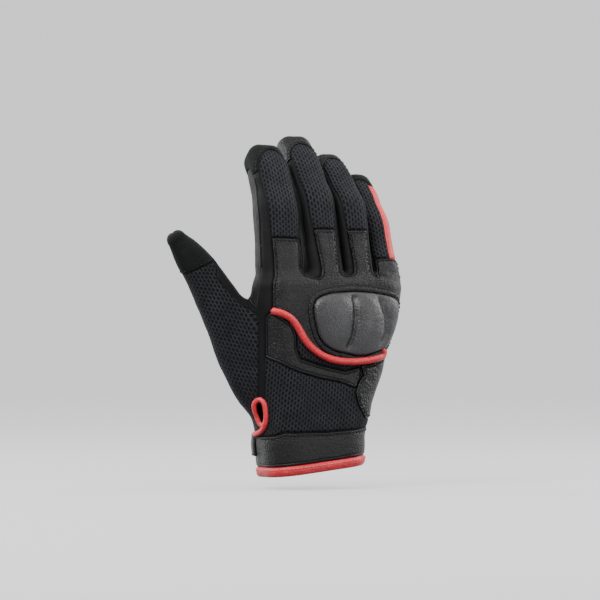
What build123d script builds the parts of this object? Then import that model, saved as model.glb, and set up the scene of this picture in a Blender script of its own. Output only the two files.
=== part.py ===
from build123d import *
import math
import os

# Right-hand short riding glove, posed as worn on a relaxed hand.
# Frame: +Z from the wrist opening towards the fingertips, -Y is the back of the
# hand, +Y is the palm, -X is the thumb side. Origin: centre of the wrist opening
# at the hem. Millimetres.

# ---------------------------------------------------------------- dimensions
WALL = 2.2                 # leather or fabric plus lining
GAP = 0.35                 # running clearance between pieces of different bodies
HEM_SLOPE = 0.12           # the hem drops towards the thumb side
HEM_H = 6.5                # height of the hem binding
CUFF_TOP = 26.5            # height of the leather cuff band
BAND_Z = 64.0              # seam between the mesh back and the knuckle leather
TOP_Z = 131.0              # crotch of the fingers

# hand sections: z, centre x, centre y, half width, half thickness, corner radius
HAND = [
    (-6.0, 0.0, 0.0, 33.6, 23.6, 19.0),
    (2.0, -0.3, 0.0, 34.0, 23.7, 19.1),
    (10.0, -0.7, 0.0, 34.5, 23.9, 19.3),
    (18.0, -1.0, 0.0, 35.0, 24.0, 19.5),
    (30.0, 0.6, 0.0, 36.4, 23.6, 19.5),
    (45.0, 2.8, 0.0, 37.2, 22.2, 19.0),
    (65.0, 6.0, 0.0, 41.5, 19.8, 17.0),
    (85.0, 7.5, 0.0, 44.5, 18.6, 16.0),
    (105.0, 9.2, 0.0, 48.6, 18.0, 15.5),
    (124.0, 11.4, 0.2, 50.2, 16.4, 14.0),
    (131.0, 11.9, 0.4, 48.6, 13.8, 12.0),
]

# fingers: x, y, z of the root, sideways lean in degrees, tilts of the three
# phalanges towards the palm, their lengths, half widths and half thicknesses
# at the root and at the last joint, and the length of the leather tab
FINGERS = {
    "index": dict(p=(-24.4, 1.0, 127.0), lean=1.8, tilt=(10, 28, 42), L=(42, 26, 14), w=(11.0, 9.4), t=(12.0, 9.4), tab=25.0),
    "middle": dict(p=(4.4, -1.0, 127.0), lean=0.0, tilt=(16, 38, 52), L=(48, 30, 16), w=(11.0, 9.5), t=(12.0, 9.5), tab=31.0),
    "ring": dict(p=(29.4, 0.2, 127.0), lean=0.0, tilt=(14, 46, 60), L=(44, 28, 15), w=(10.2, 8.9), t=(11.4, 9.0), tab=30.0),
    "little": dict(p=(51.2, 3.2, 125.0), lean=0.0, tilt=(24, 40, 50), L=(38, 22, 13), w=(9.2, 8.0), t=(10.4, 8.2), tab=18.0),
}
BASE_HINGE_S = 8.0         # distance of the base hinge up the first phalanx
BASE_FLEX, BASE_EXT = 35.0, 12.0
MID_FLEX, MID_EXT = 50.0, 15.0

# thumb centre line from root to tip with half width and half thickness
THUMB = [
    ((-24.0, 7.0, 44.0), 15.5, 13.5),
    ((-30.0, 8.5, 56.0), 16.5, 14.0),
    ((-39.0, 12.0, 76.0), 15.4, 13.6),
    ((-49.2, 16.0, 98.8), 12.9, 12.4),
    ((-65.3, 21.5, 125.5), 10.0, 10.6),
    ((-77.0, 23.6, 140.5), 7.2, 9.2),
    ((-85.2, 25.0, 150.8), 4.6, 7.4),
]
THUMB_BASE_FLEX, THUMB_BASE_EXT = 30.0, 10.0
THUMB_TIP_FLEX, THUMB_TIP_EXT = 45.0, 12.0

STRAP_OPEN = 110.0

V = Vector


def out(shape, name):
    shape.label = name
    export_step(shape, "parts/%s.step" % name)
    n = len(shape.solids())
    print("%-26s solids %d  volume %9.1f" % (name, n, shape.volume))


def solids_of(shape, least=2.0):
    keep = [s for s in shape.solids() if s.volume > least]
    return keep[0] if len(keep) == 1 else Compound(children=keep)


def half_space(origin, normal, size=400.0):
    """A large box filling the side of the plane that the normal points to."""
    pl = Plane(origin=origin, z_dir=normal)
    return pl * Pos(0, 0, size / 2) * Box(size, size, size)


def slab(zlo, zhi, size=400.0):
    return Pos(0, 0, (zlo + zhi) / 2) * Box(size, size, zhi - zlo)


def tilted_above(z, slope=HEM_SLOPE):
    """Space above the plane z + slope*x."""
    n = V(-slope, 0, 1).normalized()
    return half_space((0, 0, z), (n.X, n.Y, n.Z))


# ---------------------------------------------------------------- hand loft
def hand_loft(off, zlo=None, zhi=None):
    secs = []
    for z, cx, cy, a, b, r in HAND:
        z2 = z
        if zhi is not None and z == HAND[-1][0]:
            z2 = zhi
        if zlo is not None and z == HAND[0][0]:
            z2 = zlo
        secs.append(Plane(origin=(cx, cy, z2), x_dir=(1, 0, 0), z_dir=(0, 0, 1))
                    * RectangleRounded(2 * (a + off), 2 * (b + off), r + off))
    return loft(secs)


def hand_at(z):
    for (z0, *p0), (z1, *p1) in zip(HAND, HAND[1:]):
        if z0 <= z <= z1:
            k = (z - z0) / (z1 - z0)
            return [u + (v - u) * k for u, v in zip(p0, p1)]


# ---------------------------------------------------------------- finger frames
def finger_frame(f):
    """Hinge direction, and a function giving centre and tangent at a distance up the finger."""
    lean = math.radians(f["lean"])
    h = V(math.cos(lean), 0, -math.sin(lean))
    up = V(math.sin(lean), 0, math.cos(lean))
    p = V(*f["p"])

    def direction(i):
        a = math.radians(f["tilt"][i])
        return up * math.cos(a) + V(0, 1, 0) * math.sin(a)

    pts = [p]
    for i in range(3):
        pts.append(pts[-1] + direction(i) * f["L"][i])

    return h, direction, pts


def fsec(f, centre, tangent, h, frac, off=0.0, scale=1.0):
    w = (f["w"][0] + (f["w"][1] - f["w"][0]) * frac + off) * scale
    t = (f["t"][0] + (f["t"][1] - f["t"][0]) * frac + off) * scale
    r = 0.72 * min(w, t)
    return Plane(origin=centre, x_dir=(h.X, h.Y, h.Z), z_dir=(tangent.X, tangent.Y, tangent.Z)) * RectangleRounded(2 * w, 2 * t, r)


def tube_base(f, off, s0, s1):
    h, d, pts = finger_frame(f)
    total = sum(f["L"])
    secs = [fsec(f, pts[0] + d(0) * s, d(0), h, max(0, s) / total, off) for s in (s0, s1)]
    return loft(secs, ruled=True)


def tube_tip(f, off, s0, close=0.0):
    """The bent outer half of the finger, with a rounded end. s0 is measured from the middle joint."""
    h, d, pts = finger_frame(f)
    total = sum(f["L"])
    f1 = f["L"][0] / total
    f2 = (f["L"][0] + f["L"][1]) / total
    mid = (d(1) + d(2)).normalized()
    secs = [fsec(f, pts[1] + d(1) * s0, d(1), h, f1, off),
            fsec(f, pts[2] - d(1) * 5.0, d(1), h, f2 - 0.05, off),
            fsec(f, pts[2], mid, h, f2, off),
            fsec(f, pts[3], d(2), h, 1.0, off)]
    R = f["w"][1] + off
    for u, k in ((0.50, 0.88), (0.82, 0.62), (0.985, 0.26)):
        secs.append(fsec(f, pts[3] + d(2) * (R * u), d(2), h, 1.0, off, k))
    return loft(secs, ruled=True)


def side(d, palm, beta, sign):
    """Normal of an end plane that leans by beta from square across the tube."""
    b = math.radians(beta)
    return d * math.cos(b) + palm * (math.sin(b) * sign)


def end_below(shape, origin, d, palm, bend, flex, ext):
    """Cuts the far end of a tube so that the next one can bend by flex to the palm
    and by ext back. bend is the angle between the two tubes at rest."""
    bp = (bend + flex + 1.5) / 2
    bd = (ext - bend + 1.5) / 2
    o = origin - d * (GAP / 2)
    return shape - half_space(o, side(d, palm, bp, 1)) - half_space(o, side(d, palm, bd, -1))


def end_above(shape, origin, d, palm, bend, flex, ext):
    """The same for the near end of the tube that bends."""
    bp = (bend + flex + 1.5) / 2
    bd = (ext - bend + 1.5) / 2
    o = origin + d * (GAP / 2)
    return shape - half_space(o, side(d, palm, bp, -1) * -1.0) - half_space(o, side(d, palm, bd, 1) * -1.0)


def palm_of(d):
    n = V(0, 1, 0) - d * V(0, 1, 0).dot(d)
    return n.normalized()


print("hand shells")
outer = hand_loft(0.0)
inner = hand_loft(-WALL, zlo=-8.0, zhi=TOP_Z - WALL)

# finger stubs that stand on the crotch of the hand, up to each base hinge
stub_out, bores, folds = [], [], []
for name, f in FINGERS.items():
    h, d, pts = finger_frame(f)
    hp = pts[0] + d(0) * BASE_HINGE_S
    stub = tube_base(f, 0.0, -3.0, BASE_HINGE_S + 4.0)
    stub = end_below(stub, hp, d(0), palm_of(d(0)), 0.0, BASE_FLEX, BASE_EXT)
    stub_out.append(stub)
    # room under the palm side of the finger for its base to fold into
    o = hp - d(0) * (GAP / 2)
    col = Plane(origin=hp, x_dir=(h.X, h.Y, h.Z), z_dir=(d(0).X, d(0).Y, d(0).Z)) * Box(2 * (f["w"][0] + 0.7), 100, 100)
    folds.append(col & half_space(o, side(d(0), palm_of(d(0)), (BASE_FLEX + 1.5) / 2, 1)) & half_space(hp, palm_of(d(0))))
    bores.append(tube_base(f, -WALL, -12.0, BASE_HINGE_S + 12.0))

thumb_pts = [V(*p[0]) for p in THUMB]
t_dir = (thumb_pts[4] - thumb_pts[3]).normalized()
t_dir2 = (thumb_pts[6] - thumb_pts[4]).normalized()
face = V(-0.4226, -0.9063, 0)
t_back = (face - t_dir * face.dot(t_dir)).normalized()      # the thumb's back
t_hinge = t_back.cross(t_dir)                                # bending axis: positive bends to the palm
t_axis = V(round(t_hinge.X, 6), round(t_hinge.Y, 6), round(t_hinge.Z, 6))
print("thumb hinge axis", t_axis, "base", thumb_pts[3], "tip", thumb_pts[4])


def tsec(i, off, shift=0.0, scale=1.0):
    p = thumb_pts[i]
    a = thumb_pts[max(0, i - 1)]
    b = thumb_pts[min(len(thumb_pts) - 1, i + 1)]
    tan = (b - a).normalized()
    tan = (tan - t_axis * tan.dot(t_axis)).normalized()
    w = (THUMB[i][1] + off) * scale
    t = (THUMB[i][2] + off) * scale
    c = p + tan * shift
    return Plane(origin=c, x_dir=(t_axis.X, t_axis.Y, t_axis.Z), z_dir=(tan.X, tan.Y, tan.Z)) * RectangleRounded(2 * w, 2 * t, 0.72 * min(w, t)), tan, c


thumb_root_out = loft([tsec(0, 0)[0], tsec(1, 0)[0], tsec(2, 0)[0], tsec(3, 0)[0]], ruled=True)
thumb_root_in = loft([tsec(1, -WALL)[0], tsec(2, -WALL)[0], tsec(3, -WALL)[0], tsec(3, -WALL, 8.0)[0]], ruled=True)

hand_all = outer
for s in stub_out:
    hand_all = hand_all + s
shell = hand_all - inner
for b in bores + folds:
    shell = shell - b
shell = shell - thumb_root_in
shell = shell & tilted_above(0.0)
shell = solids_of(shell, 50)
print("shell", shell.volume, len(shell.solids()))

gusset = (thumb_root_out - outer) - thumb_root_in
root_dir = (thumb_pts[3] - thumb_pts[2]).normalized()
thumb_palm = (t_back * -1.0)
gusset = end_below(gusset, thumb_pts[3], t_dir, (thumb_palm - t_dir * thumb_palm.dot(t_dir)).normalized(), 0.0, THUMB_BASE_FLEX, THUMB_BASE_EXT)
gusset = solids_of(gusset, 200)

# keyhole at the thumb side of the wrist, between the cuff and the thumb
KEY_C = V(-33.5, -9.0, 38.0)
KEY_N = V(-0.86, -0.51, 0.0)
key_plane = Plane(origin=KEY_C, x_dir=(0.51, -0.86, 0.0), z_dir=(KEY_N.X, KEY_N.Y, KEY_N.Z))
key_hole = key_plane * Pos(0, 0, -9) * extrude(Ellipse(3.2, 8.5), 22)
key_ring = key_plane * Pos(0, 0, -6) * extrude(Ellipse(7.2, 12.8) - Ellipse(3.2, 8.5), 11.5)

shell = shell - key_hole
gusset = gusset - key_hole
ring = key_ring - outer - thumb_root_out
ring = solids_of(ring, 20)

# ---------------------------------------------------------------- hand panels
cuff_zone = half_space((0, 0, CUFF_TOP), (0.02, 0, -1))
hem = shell & half_space((0, 0, HEM_H), (HEM_SLOPE, 0, -1))
cuff = (shell & cuff_zone) - half_space((0, 0, HEM_H), (HEM_SLOPE, 0, -1))
upper = shell - cuff_zone
SIDE_Y = 3.0
palm = upper & half_space((0, SIDE_Y, 0), (0, 1, 0))
back = upper - half_space((0, SIDE_Y, 0), (0, 1, 0))
knuckle_cut = half_space((0, 0, BAND_Z), (0.12, 0, 1))
mesh_back = back - knuckle_cut
knuckle = back & knuckle_cut
lining_layer = hand_loft(-WALL - 0.12) - hand_loft(-WALL - 0.9)
lining = lining_layer & slab(70, 122) & half_space((0, -3.0, 0), (0, -1, 0))
lining = lining - thumb_root_in

# hem binding is a little thicker than the cuff
hem_bind = (hand_loft(1.3) - hand_loft(-WALL - 0.6, zlo=-8.0)) & tilted_above(0.0) & half_space((0, 0, HEM_H), (HEM_SLOPE, 0, -1))

elastic = (hand_loft(-WALL - 0.12) - hand_loft(-WALL - 1.5)) & slab(29.0, 37.0) & half_space((0, SIDE_Y - 4.0, 0), (0, -1, 0))
elastic = elastic - thumb_root_in - key_hole


def layer(t0, t1):
    return hand_loft(t1) - hand_loft(t0)


def region_xz(points, y0, y1):
    """Extrudes a closed outline, given as x and z, from y0 to y1."""
    wire = Wire(Spline(*[V(x, y0, z) for x, z in points], periodic=True).edges())
    return extrude(Face(wire), amount=abs(y1 - y0), dir=(0, 1 if y1 > y0 else -1, 0))


# knuckle guard: a hard shell with three knuckle domes over a foam insert
GX, GZ, GA, GB = 25.5, 95.0, 30.5, 20.6
guard_outline = []
for i in range(16):
    a = 2 * math.pi * i / 16
    ca, sa = math.cos(a), math.sin(a)
    guard_outline.append((GX + GA * math.copysign(abs(ca) ** 0.82, ca), GZ + GB * math.copysign(abs(sa) ** 0.82, sa)))
guard_zone = region_xz(guard_outline, -60, -3)


def domes(off):
    s = None
    for cx, rx, ry, rz in ((8.5, 17.5, 10.5, 21.5), (30.0, 13.5, 10.8, 22.5), (47.5, 12.5, 11.0, 20.5)):
        cy = -hand_at(95)[3] + (4.0 if cx > 40 else 1.0)
        e = Pos(cx, cy, GZ) * scale(Sphere(1.0), by=(rx + off, ry + 1.8 + off, rz + off))
        s = e if s is None else s + e
    return s


outer_clear = hand_loft(0.12)
dome_out = (domes(0.0) & guard_zone) - hand_loft(0.12)
base_flange = (layer(0.12, 2.6) & guard_zone)
guard_full = solids_of(dome_out + base_flange, 100)
foam_zone = region_xz([(GX + (x - GX) * 0.80, GZ + (z - GZ) * 0.80) for x, z in guard_outline], -60, -3)
foam = (domes(-2.0) & foam_zone) - hand_loft(0.12)
foam = solids_of(foam, 100)
guard = solids_of(guard_full - foam, 100)

rim_zone = region_xz([(GX + (x - GX) * 1.13, GZ + (z - GZ) * 1.17) for x, z in guard_outline], -60, -1)
rim = (layer(0.12, 2.4) & (rim_zone - guard_zone))
rim = solids_of(rim, 20)

# red piping under the knuckle panel: a strip that follows the hand
pipe_line = [(-30.6, 103.4), (-24.5, 100.6), (-18.0, 95.5), (-13.0, 87.5), (-8.0, 80.5), (-1.0, 75.0), (8.0, 71.2), (20.0, 69.6), (34.0, 69.8), (46.0, 72.6), (53.0, 77.0)]


def strip_zone(line, half, y0, y1):
    left, right = [], []
    for i, (x, z) in enumerate(line):
        a = line[max(0, i - 1)]
        b = line[min(len(line) - 1, i + 1)]
        dx, dz = b[0] - a[0], b[1] - a[1]
        n = math.hypot(dx, dz)
        nx, nz = -dz / n, dx / n
        left.append(V(x + nx * half, y0, z + nz * half))
        right.append(V(x - nx * half, y0, z - nz * half))
    e = [Spline(*left), Line(left[-1], right[-1]), Spline(*reversed(right)), Line(right[0], left[0])]
    return extrude(Face(Wire([x.edge() if hasattr(x, "edge") else x for x in e])), amount=abs(y1 - y0), dir=(0, 1 if y1 > y0 else -1, 0))


piping = (layer(0.12, 3.6) & strip_zone(pipe_line, 2.2, -60, 1.0)) - rim_zone
piping = solids_of(piping, 20)

band_pts_hi = [(-29.0, 99.0), (-16.0, 89.0), (-10.0, 74.0), (6.0, 66.5), (22.0, 62.8), (34.0, 64.5)]
band_pts_lo = [(34.0, 55.5), (20.0, 55.0), (4.0, 59.0), (-8.0, 63.5), (-20.0, 68.5), (-29.5, 73.0)]
e = [Spline(*[V(x, -60, z) for x, z in band_pts_hi]), Line(V(34, -60, 64.5), V(34, -60, 55.5)),
     Spline(*[V(x, -60, z) for x, z in band_pts_lo]), Line(V(-29.5, -60, 73.0), V(-29.0, -60, 99.0))]
band_zone = extrude(Face(Wire([x.edge() for x in e])), amount=61, dir=(0, 1, 0))
band = (layer(0.12, 1.1) & band_zone) - strip_zone(pipe_line, 2.3, -60, 1.0) - rim_zone
band = solids_of(band - thumb_root_out, 20)

# grip patch on the little-finger side of the wrist
patch_zone = Pos(60, 2.0, 53.0) * Box(60, 26.0, 34.0)
patch = layer(0.12, 1.3) & patch_zone
patch = solids_of(patch, 10)

# palm reinforcements
heel_zone = Pos(18.0, 45.6, 58.0) * Box(44, 60, 40)
heel = solids_of(layer(0.12, 3.2) & heel_zone, 20)
grip_zone = Pos(6.0, 30, 104.0) * Box(72, 60, 26)
grip = solids_of((layer(0.12, 1.3) & grip_zone) - thumb_root_out, 20)

# ---------------------------------------------------------------- wrist strap
SX0, SX1 = -38.0, 14.0


def strap_region(zlo, zhi, xhi):
    box = Pos((-60 + xhi) / 2, 2.0 + 30, 0) * Box(60 + xhi, 60, 400)
    z = slab(0, 60) & half_space((0, 0, zlo), (-HEM_SLOPE * 0.5, 0, 1)) & half_space((0, 0, zhi), (0.02, 0, -1))
    return box & z


loop_zone = Pos(-1, 30, 15.5) * Box(40, 60, 13.0)
loop_patch = solids_of(layer(0.0, 0.9) & loop_zone, 5)
strap_all = solids_of(layer(2.2, 4.0) & strap_region(8.2, 24.6, SX1), 50)
strap_core = solids_of(layer(2.2, 4.0) & strap_region(11.0, 21.8, SX1 - 3.0), 50)
strap_bind = solids_of(strap_all - strap_core, 20)
hook_patch = solids_of(layer(1.3, 2.2) & (Pos(-2, 30, 16.0) * Box(26, 60, 9.0)), 5)

# ---------------------------------------------------------------- write hand
P = {}
P["palm_leather"] = palm
P["back_mesh_panel"] = mesh_back
P["knuckle_leather_panel"] = knuckle
P["back_leather_band"] = band
P["knuckle_guard_shell"] = guard
P["knuckle_guard_foam"] = foam
P["knuckle_guard_rim"] = rim
P["knuckle_piping"] = piping
P["side_grip_patch"] = patch
P["palm_heel_pad"] = heel
P["palm_grip_patch"] = grip
P["thumb_gusset_mesh"] = gusset
P["cuff_band"] = cuff
P["cuff_hem_piping"] = hem_bind
P["slit_piping"] = ring
P["wrist_elastic"] = elastic
P["loop_patch"] = loop_patch
P["back_lining"] = lining
P["wrist_strap"] = strap_core
P["strap_piping"] = strap_bind
P["hook_patch"] = hook_patch

# ---------------------------------------------------------------- fingers
for name, f in FINGERS.items():
    h, d, pts = finger_frame(f)
    d0, d1, d2 = d(0), d(1), d(2)
    hp = pts[0] + d0 * BASE_HINGE_S
    base = tube_base(f, 0.0, BASE_HINGE_S - 3.0, f["L"][0] + 5.0) - tube_base(f, -WALL, -12.0, f["L"][0] + 9.0)
    bend = f["tilt"][1] - f["tilt"][0]
    base = end_above(base, hp, d0, palm_of(d0), 0.0, BASE_FLEX, BASE_EXT)
    base = end_below(base, pts[1], d0, palm_of(d0), bend, MID_FLEX, min(MID_EXT, bend))
    # strips of the tube: back, palm and the two side walls
    w0 = f["w"][0] * 0.70
    pl = Plane(origin=pts[0], x_dir=(h.X, h.Y, h.Z), z_dir=(d0.X, d0.Y, d0.Z))
    column = pl * Box(2 * w0, 80, 200)
    palm_side = half_space(pts[0], (pl.y_dir.X, pl.y_dir.Y, pl.y_dir.Z))
    back_side = half_space(pts[0], (-pl.y_dir.X, -pl.y_dir.Y, -pl.y_dir.Z))
    if pl.y_dir.Y < 0:
        palm_side, back_side = back_side, palm_side
    above_tab = half_space(pts[0] + d0 * f["tab"], d0)
    P[name + "_knuckle_tab"] = solids_of((base & column & back_side) - above_tab)
    P[name + "_lower_mesh"] = solids_of((base & column & back_side) & above_tab)
    P[name + "_base_palm"] = solids_of(base & column & palm_side)
    walls = solids_of(base - column)
    tip = tube_tip(f, 0.0, -5.0) - tube_tip(f, -WALL, -9.0)
    tip = end_above(tip, pts[1], d1, palm_of(d1), bend, MID_FLEX, min(MID_EXT, bend))
    cap_o = pts[2] + d2 * (f["L"][2] * 0.70)
    cap_zone = half_space(cap_o, d2)
    P[name + "_tip_cap"] = solids_of(tip & cap_zone)
    rest = tip - cap_zone
    pl2 = Plane(origin=pts[1], x_dir=(h.X, h.Y, h.Z), z_dir=(d1.X, d1.Y, d1.Z))
    column2 = pl2 * Box(2 * f["w"][1] * 0.76, 200, 300)
    # back and palm sides are told apart along the bent centre line
    n1 = V(0, 1, 0) - d1 * V(0, 1, 0).dot(d1)
    n2 = V(0, 1, 0) - d2 * V(0, 1, 0).dot(d2)
    palm_a = half_space(pts[2], (n1.X, n1.Y, n1.Z)) - half_space(pts[2], d1)
    palm_b = half_space(pts[2], (n2.X, n2.Y, n2.Z)) & half_space(pts[2], d1)
    palm_zone = palm_a + palm_b
    strip = rest & column2
    P[name + "_back_mesh"] = solids_of(strip - palm_zone)
    P[name + "_tip_palm"] = solids_of(strip & palm_zone)
    walls2 = solids_of(rest - column2)
    if name == "little":
        red_side = half_space((f["p"][0], 0, 0), (1, 0, 0))
        P["little_red_panel"] = solids_of(walls2 & red_side)
        P["little_tip_fourchette"] = solids_of(walls2 - red_side)
    else:
        P[name + "_tip_fourchettes"] = walls2
    P[name + "_base_fourchettes"] = walls

# ---------------------------------------------------------------- thumb
t3, t4 = thumb_pts[3], thumb_pts[4]
tb_out = loft([tsec(3, 0, -3.0)[0], tsec(3, 0)[0], tsec(4, 0)[0], tsec(4, 0, 4.0)[0]], ruled=True)
tan4 = tsec(4, 0)[1]
tan3 = tsec(3, 0)[1]
tb_in = loft([tsec(3, -WALL, -7.0)[0], tsec(3, -WALL)[0], tsec(4, -WALL)[0], tsec(4, -WALL, 8.0)[0]], ruled=True)
tbase = tb_out - tb_in


def thumb_palm_of(d):
    return (thumb_palm - d * thumb_palm.dot(d)).normalized()


tbase = end_above(tbase, t3, t_dir, thumb_palm_of(t_dir), 0.0, THUMB_BASE_FLEX, THUMB_BASE_EXT)
tbase = end_below(tbase, t4, t_dir, thumb_palm_of(t_dir), 0.0, THUMB_TIP_FLEX, THUMB_TIP_EXT)
plt = Plane(origin=t3, x_dir=(t_axis.X, t_axis.Y, t_axis.Z), z_dir=(t_dir.X, t_dir.Y, t_dir.Z))
front = half_space(t3, t_back)
inner_side = half_space(t3 + t_axis * -7.0, t_axis * -1.0)
wall_t = tbase & inner_side
P["thumb_back_mesh"] = solids_of((tbase & front) - inner_side)
P["thumb_base_palm"] = solids_of((tbase - front) - inner_side)
P["thumb_side_wall"] = solids_of(wall_t)
cap_secs_out = [tsec(4, 0, -3.0)[0], tsec(4, 0)[0], tsec(5, 0)[0], tsec(6, 0)[0], tsec(6, 0, 3.0, 0.8)[0], tsec(6, 0, 4.6, 0.4)[0]]
cap_secs_in = [tsec(4, -WALL, -7.0)[0], tsec(4, -WALL)[0], tsec(5, -WALL)[0], tsec(6, -WALL)[0], tsec(6, -WALL, 1.6, 0.6)[0]]
tcap = loft(cap_secs_out, ruled=True) - loft(cap_secs_in, ruled=True)
tcap = end_above(tcap, t4, t_dir, thumb_palm_of(t_dir), 0.0, THUMB_TIP_FLEX, THUMB_TIP_EXT)
front2 = half_space(t4, t_back)
P["thumb_tip_cap"] = solids_of(tcap & front2)
P["thumb_tip_palm"] = solids_of(tcap - front2)

for k, s in P.items():
    if not isinstance(s, (Solid, Compound)) or len(s.solids()) != len([x for x in s.solids() if x.volume > 2.0]):
        s = solids_of(s)
    out(s, k)
print(len(P), "nodes")
for name, f in FINGERS.items():
    h, d, pts = finger_frame(f)
    hp = pts[0] + d(0) * BASE_HINGE_S
    print(name, "base", [round(v, 3) for v in (hp.X, hp.Y, hp.Z)], "mid", [round(v, 3) for v in (pts[1].X, pts[1].Y, pts[1].Z)],
          "axis", [round(-v, 5) for v in (h.X, h.Y, h.Z)], "tip", [round(v, 2) for v in (pts[3].X, pts[3].Y, pts[3].Z)])
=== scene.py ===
import math
import time
import bpy
import numpy as np
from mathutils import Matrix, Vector, kdtree
from mathutils.bvhtree import BVHTree


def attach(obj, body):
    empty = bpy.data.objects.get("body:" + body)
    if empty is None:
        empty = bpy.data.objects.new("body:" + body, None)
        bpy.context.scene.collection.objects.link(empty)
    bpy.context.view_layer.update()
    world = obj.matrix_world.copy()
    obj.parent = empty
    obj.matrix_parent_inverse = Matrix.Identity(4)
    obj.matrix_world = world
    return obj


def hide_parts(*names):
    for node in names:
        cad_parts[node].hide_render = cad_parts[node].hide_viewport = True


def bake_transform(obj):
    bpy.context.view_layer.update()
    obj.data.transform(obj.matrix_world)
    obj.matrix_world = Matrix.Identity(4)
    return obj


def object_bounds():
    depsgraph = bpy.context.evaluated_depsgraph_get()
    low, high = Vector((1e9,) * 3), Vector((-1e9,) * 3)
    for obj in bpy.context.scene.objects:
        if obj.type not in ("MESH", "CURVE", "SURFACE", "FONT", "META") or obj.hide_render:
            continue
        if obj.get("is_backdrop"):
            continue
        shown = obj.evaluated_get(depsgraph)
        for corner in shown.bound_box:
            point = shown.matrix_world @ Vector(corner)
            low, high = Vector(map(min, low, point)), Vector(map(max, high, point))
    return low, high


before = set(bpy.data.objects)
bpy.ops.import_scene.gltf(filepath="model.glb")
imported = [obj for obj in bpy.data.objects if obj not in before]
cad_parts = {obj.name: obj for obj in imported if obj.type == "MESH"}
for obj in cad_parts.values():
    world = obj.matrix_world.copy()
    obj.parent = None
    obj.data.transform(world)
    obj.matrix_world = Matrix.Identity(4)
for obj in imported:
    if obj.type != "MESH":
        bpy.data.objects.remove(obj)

# A right-hand riding glove. All shape work is in millimetres in the row frame and
# becomes metres when a piece is made. The glove's skin is one continuous surface,
# cut along its seams into panels, and each panel becomes a closed piece of its own.

T0 = time.time()
CAD_LO, CAD_HI = [list(v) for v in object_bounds()]
rng = np.random.default_rng(7)


def log(*a):
    print("[%5.1f]" % (time.time() - T0), *a, flush=True)


# ------------------------------------------------------------------ helpers
def step01(x):
    x = np.clip(x, 0, 1)
    return x * x * (3 - 2 * x)


def smin(a, b, k):
    h = np.clip(0.5 + 0.5 * (b - a) / k, 0, 1)
    return b + (a - b) * h - k * h * (1 - h)


def smax(a, b, k):
    return -smin(-a, -b, k)


def rrect(x, y, a, b, r):
    qx, qy = np.abs(x) - (a - r), np.abs(y) - (b - r)
    return np.hypot(np.maximum(qx, 0), np.maximum(qy, 0)) + np.minimum(np.maximum(qx, qy), 0) - r


def perim(x, y, a, b, r):
    """Distance round a rounded rectangle from the middle of its -y side, positive towards +x."""
    qx, qy = np.abs(x) - (a - r), np.abs(y) - (b - r)
    quarter = (a - r) + r * math.pi / 2 + (b - r)
    corner = (a - r) + r * np.arctan2(np.maximum(qx, 1e-6), np.maximum(qy, 1e-6))
    flat = np.abs(x)
    side = quarter - np.abs(y)
    c = np.where((qx > 0) & (qy > 0), corner, np.where(qy > qx, np.minimum(flat, a - r), np.maximum(side, (a - r) + r * math.pi / 2)))
    c = np.where(y > 0, 2 * quarter - c, c)
    return np.where(x < 0, -c, c)


def noise3(P, scale, seed=0):
    """Smooth value noise, about -1 to 1."""
    g = np.random.default_rng(seed).uniform(-1, 1, (32, 32, 32))
    q = P / scale + 100.37
    i = np.floor(q).astype(int)
    f = q - i
    f = f * f * (3 - 2 * f)
    out = 0
    for dx in (0, 1):
        for dy in (0, 1):
            for dz in (0, 1):
                w = (f[:, 0] if dx else 1 - f[:, 0]) * (f[:, 1] if dy else 1 - f[:, 1]) * (f[:, 2] if dz else 1 - f[:, 2])
                out = out + w * g[(i[:, 0] + dx) % 32, (i[:, 1] + dy) % 32, (i[:, 2] + dz) % 32]
    return out


def smooth_rows(rows, win=11):
    rows = np.array(rows, float)
    z = np.arange(rows[0, 0], rows[-1, 0] + 0.5, 1.0)
    k = np.hanning(win + 2)[1:-1]
    k /= k.sum()
    cols = []
    for i in range(1, rows.shape[1]):
        c = np.interp(z, rows[:, 0], rows[:, i])
        cols.append(np.convolve(np.pad(c, (win // 2, win // 2), "edge"), k, "valid"))
    return z, cols


def catmull(points, n=8, closed=False):
    p = np.array(points, float)
    if closed:
        p = np.vstack([p[-1], p, p[0], p[1]])
    else:
        p = np.vstack([2 * p[0] - p[1], p, 2 * p[-1] - p[-2]])
    out = []
    for i in range(1, len(p) - 2):
        for t in np.arange(n) / n:
            a, b, c, d = p[i - 1], p[i], p[i + 1], p[i + 2]
            out.append(0.5 * ((2 * b) + (c - a) * t + (2 * a - 5 * b + 4 * c - d) * t * t + (3 * b - a - 3 * c + d) * t ** 3))
    if not closed:
        out.append(p[-2])
    return np.array(out)


def resample(P, step, closed=False):
    P = np.array(P, float)
    if closed:
        P = np.vstack([P, P[0]])
    seg = np.linalg.norm(np.diff(P, axis=0), axis=1)
    keep = np.r_[True, seg > 1e-6]
    P = P[keep]
    seg = np.linalg.norm(np.diff(P, axis=0), axis=1)
    cum = np.r_[0, np.cumsum(seg)]
    n = max(2, int(round(cum[-1] / step)))
    t = np.linspace(0, cum[-1], n + 1)
    if closed:
        t = t[:-1]
    return np.column_stack([np.interp(t, cum, P[:, i]) for i in range(P.shape[1])])


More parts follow.
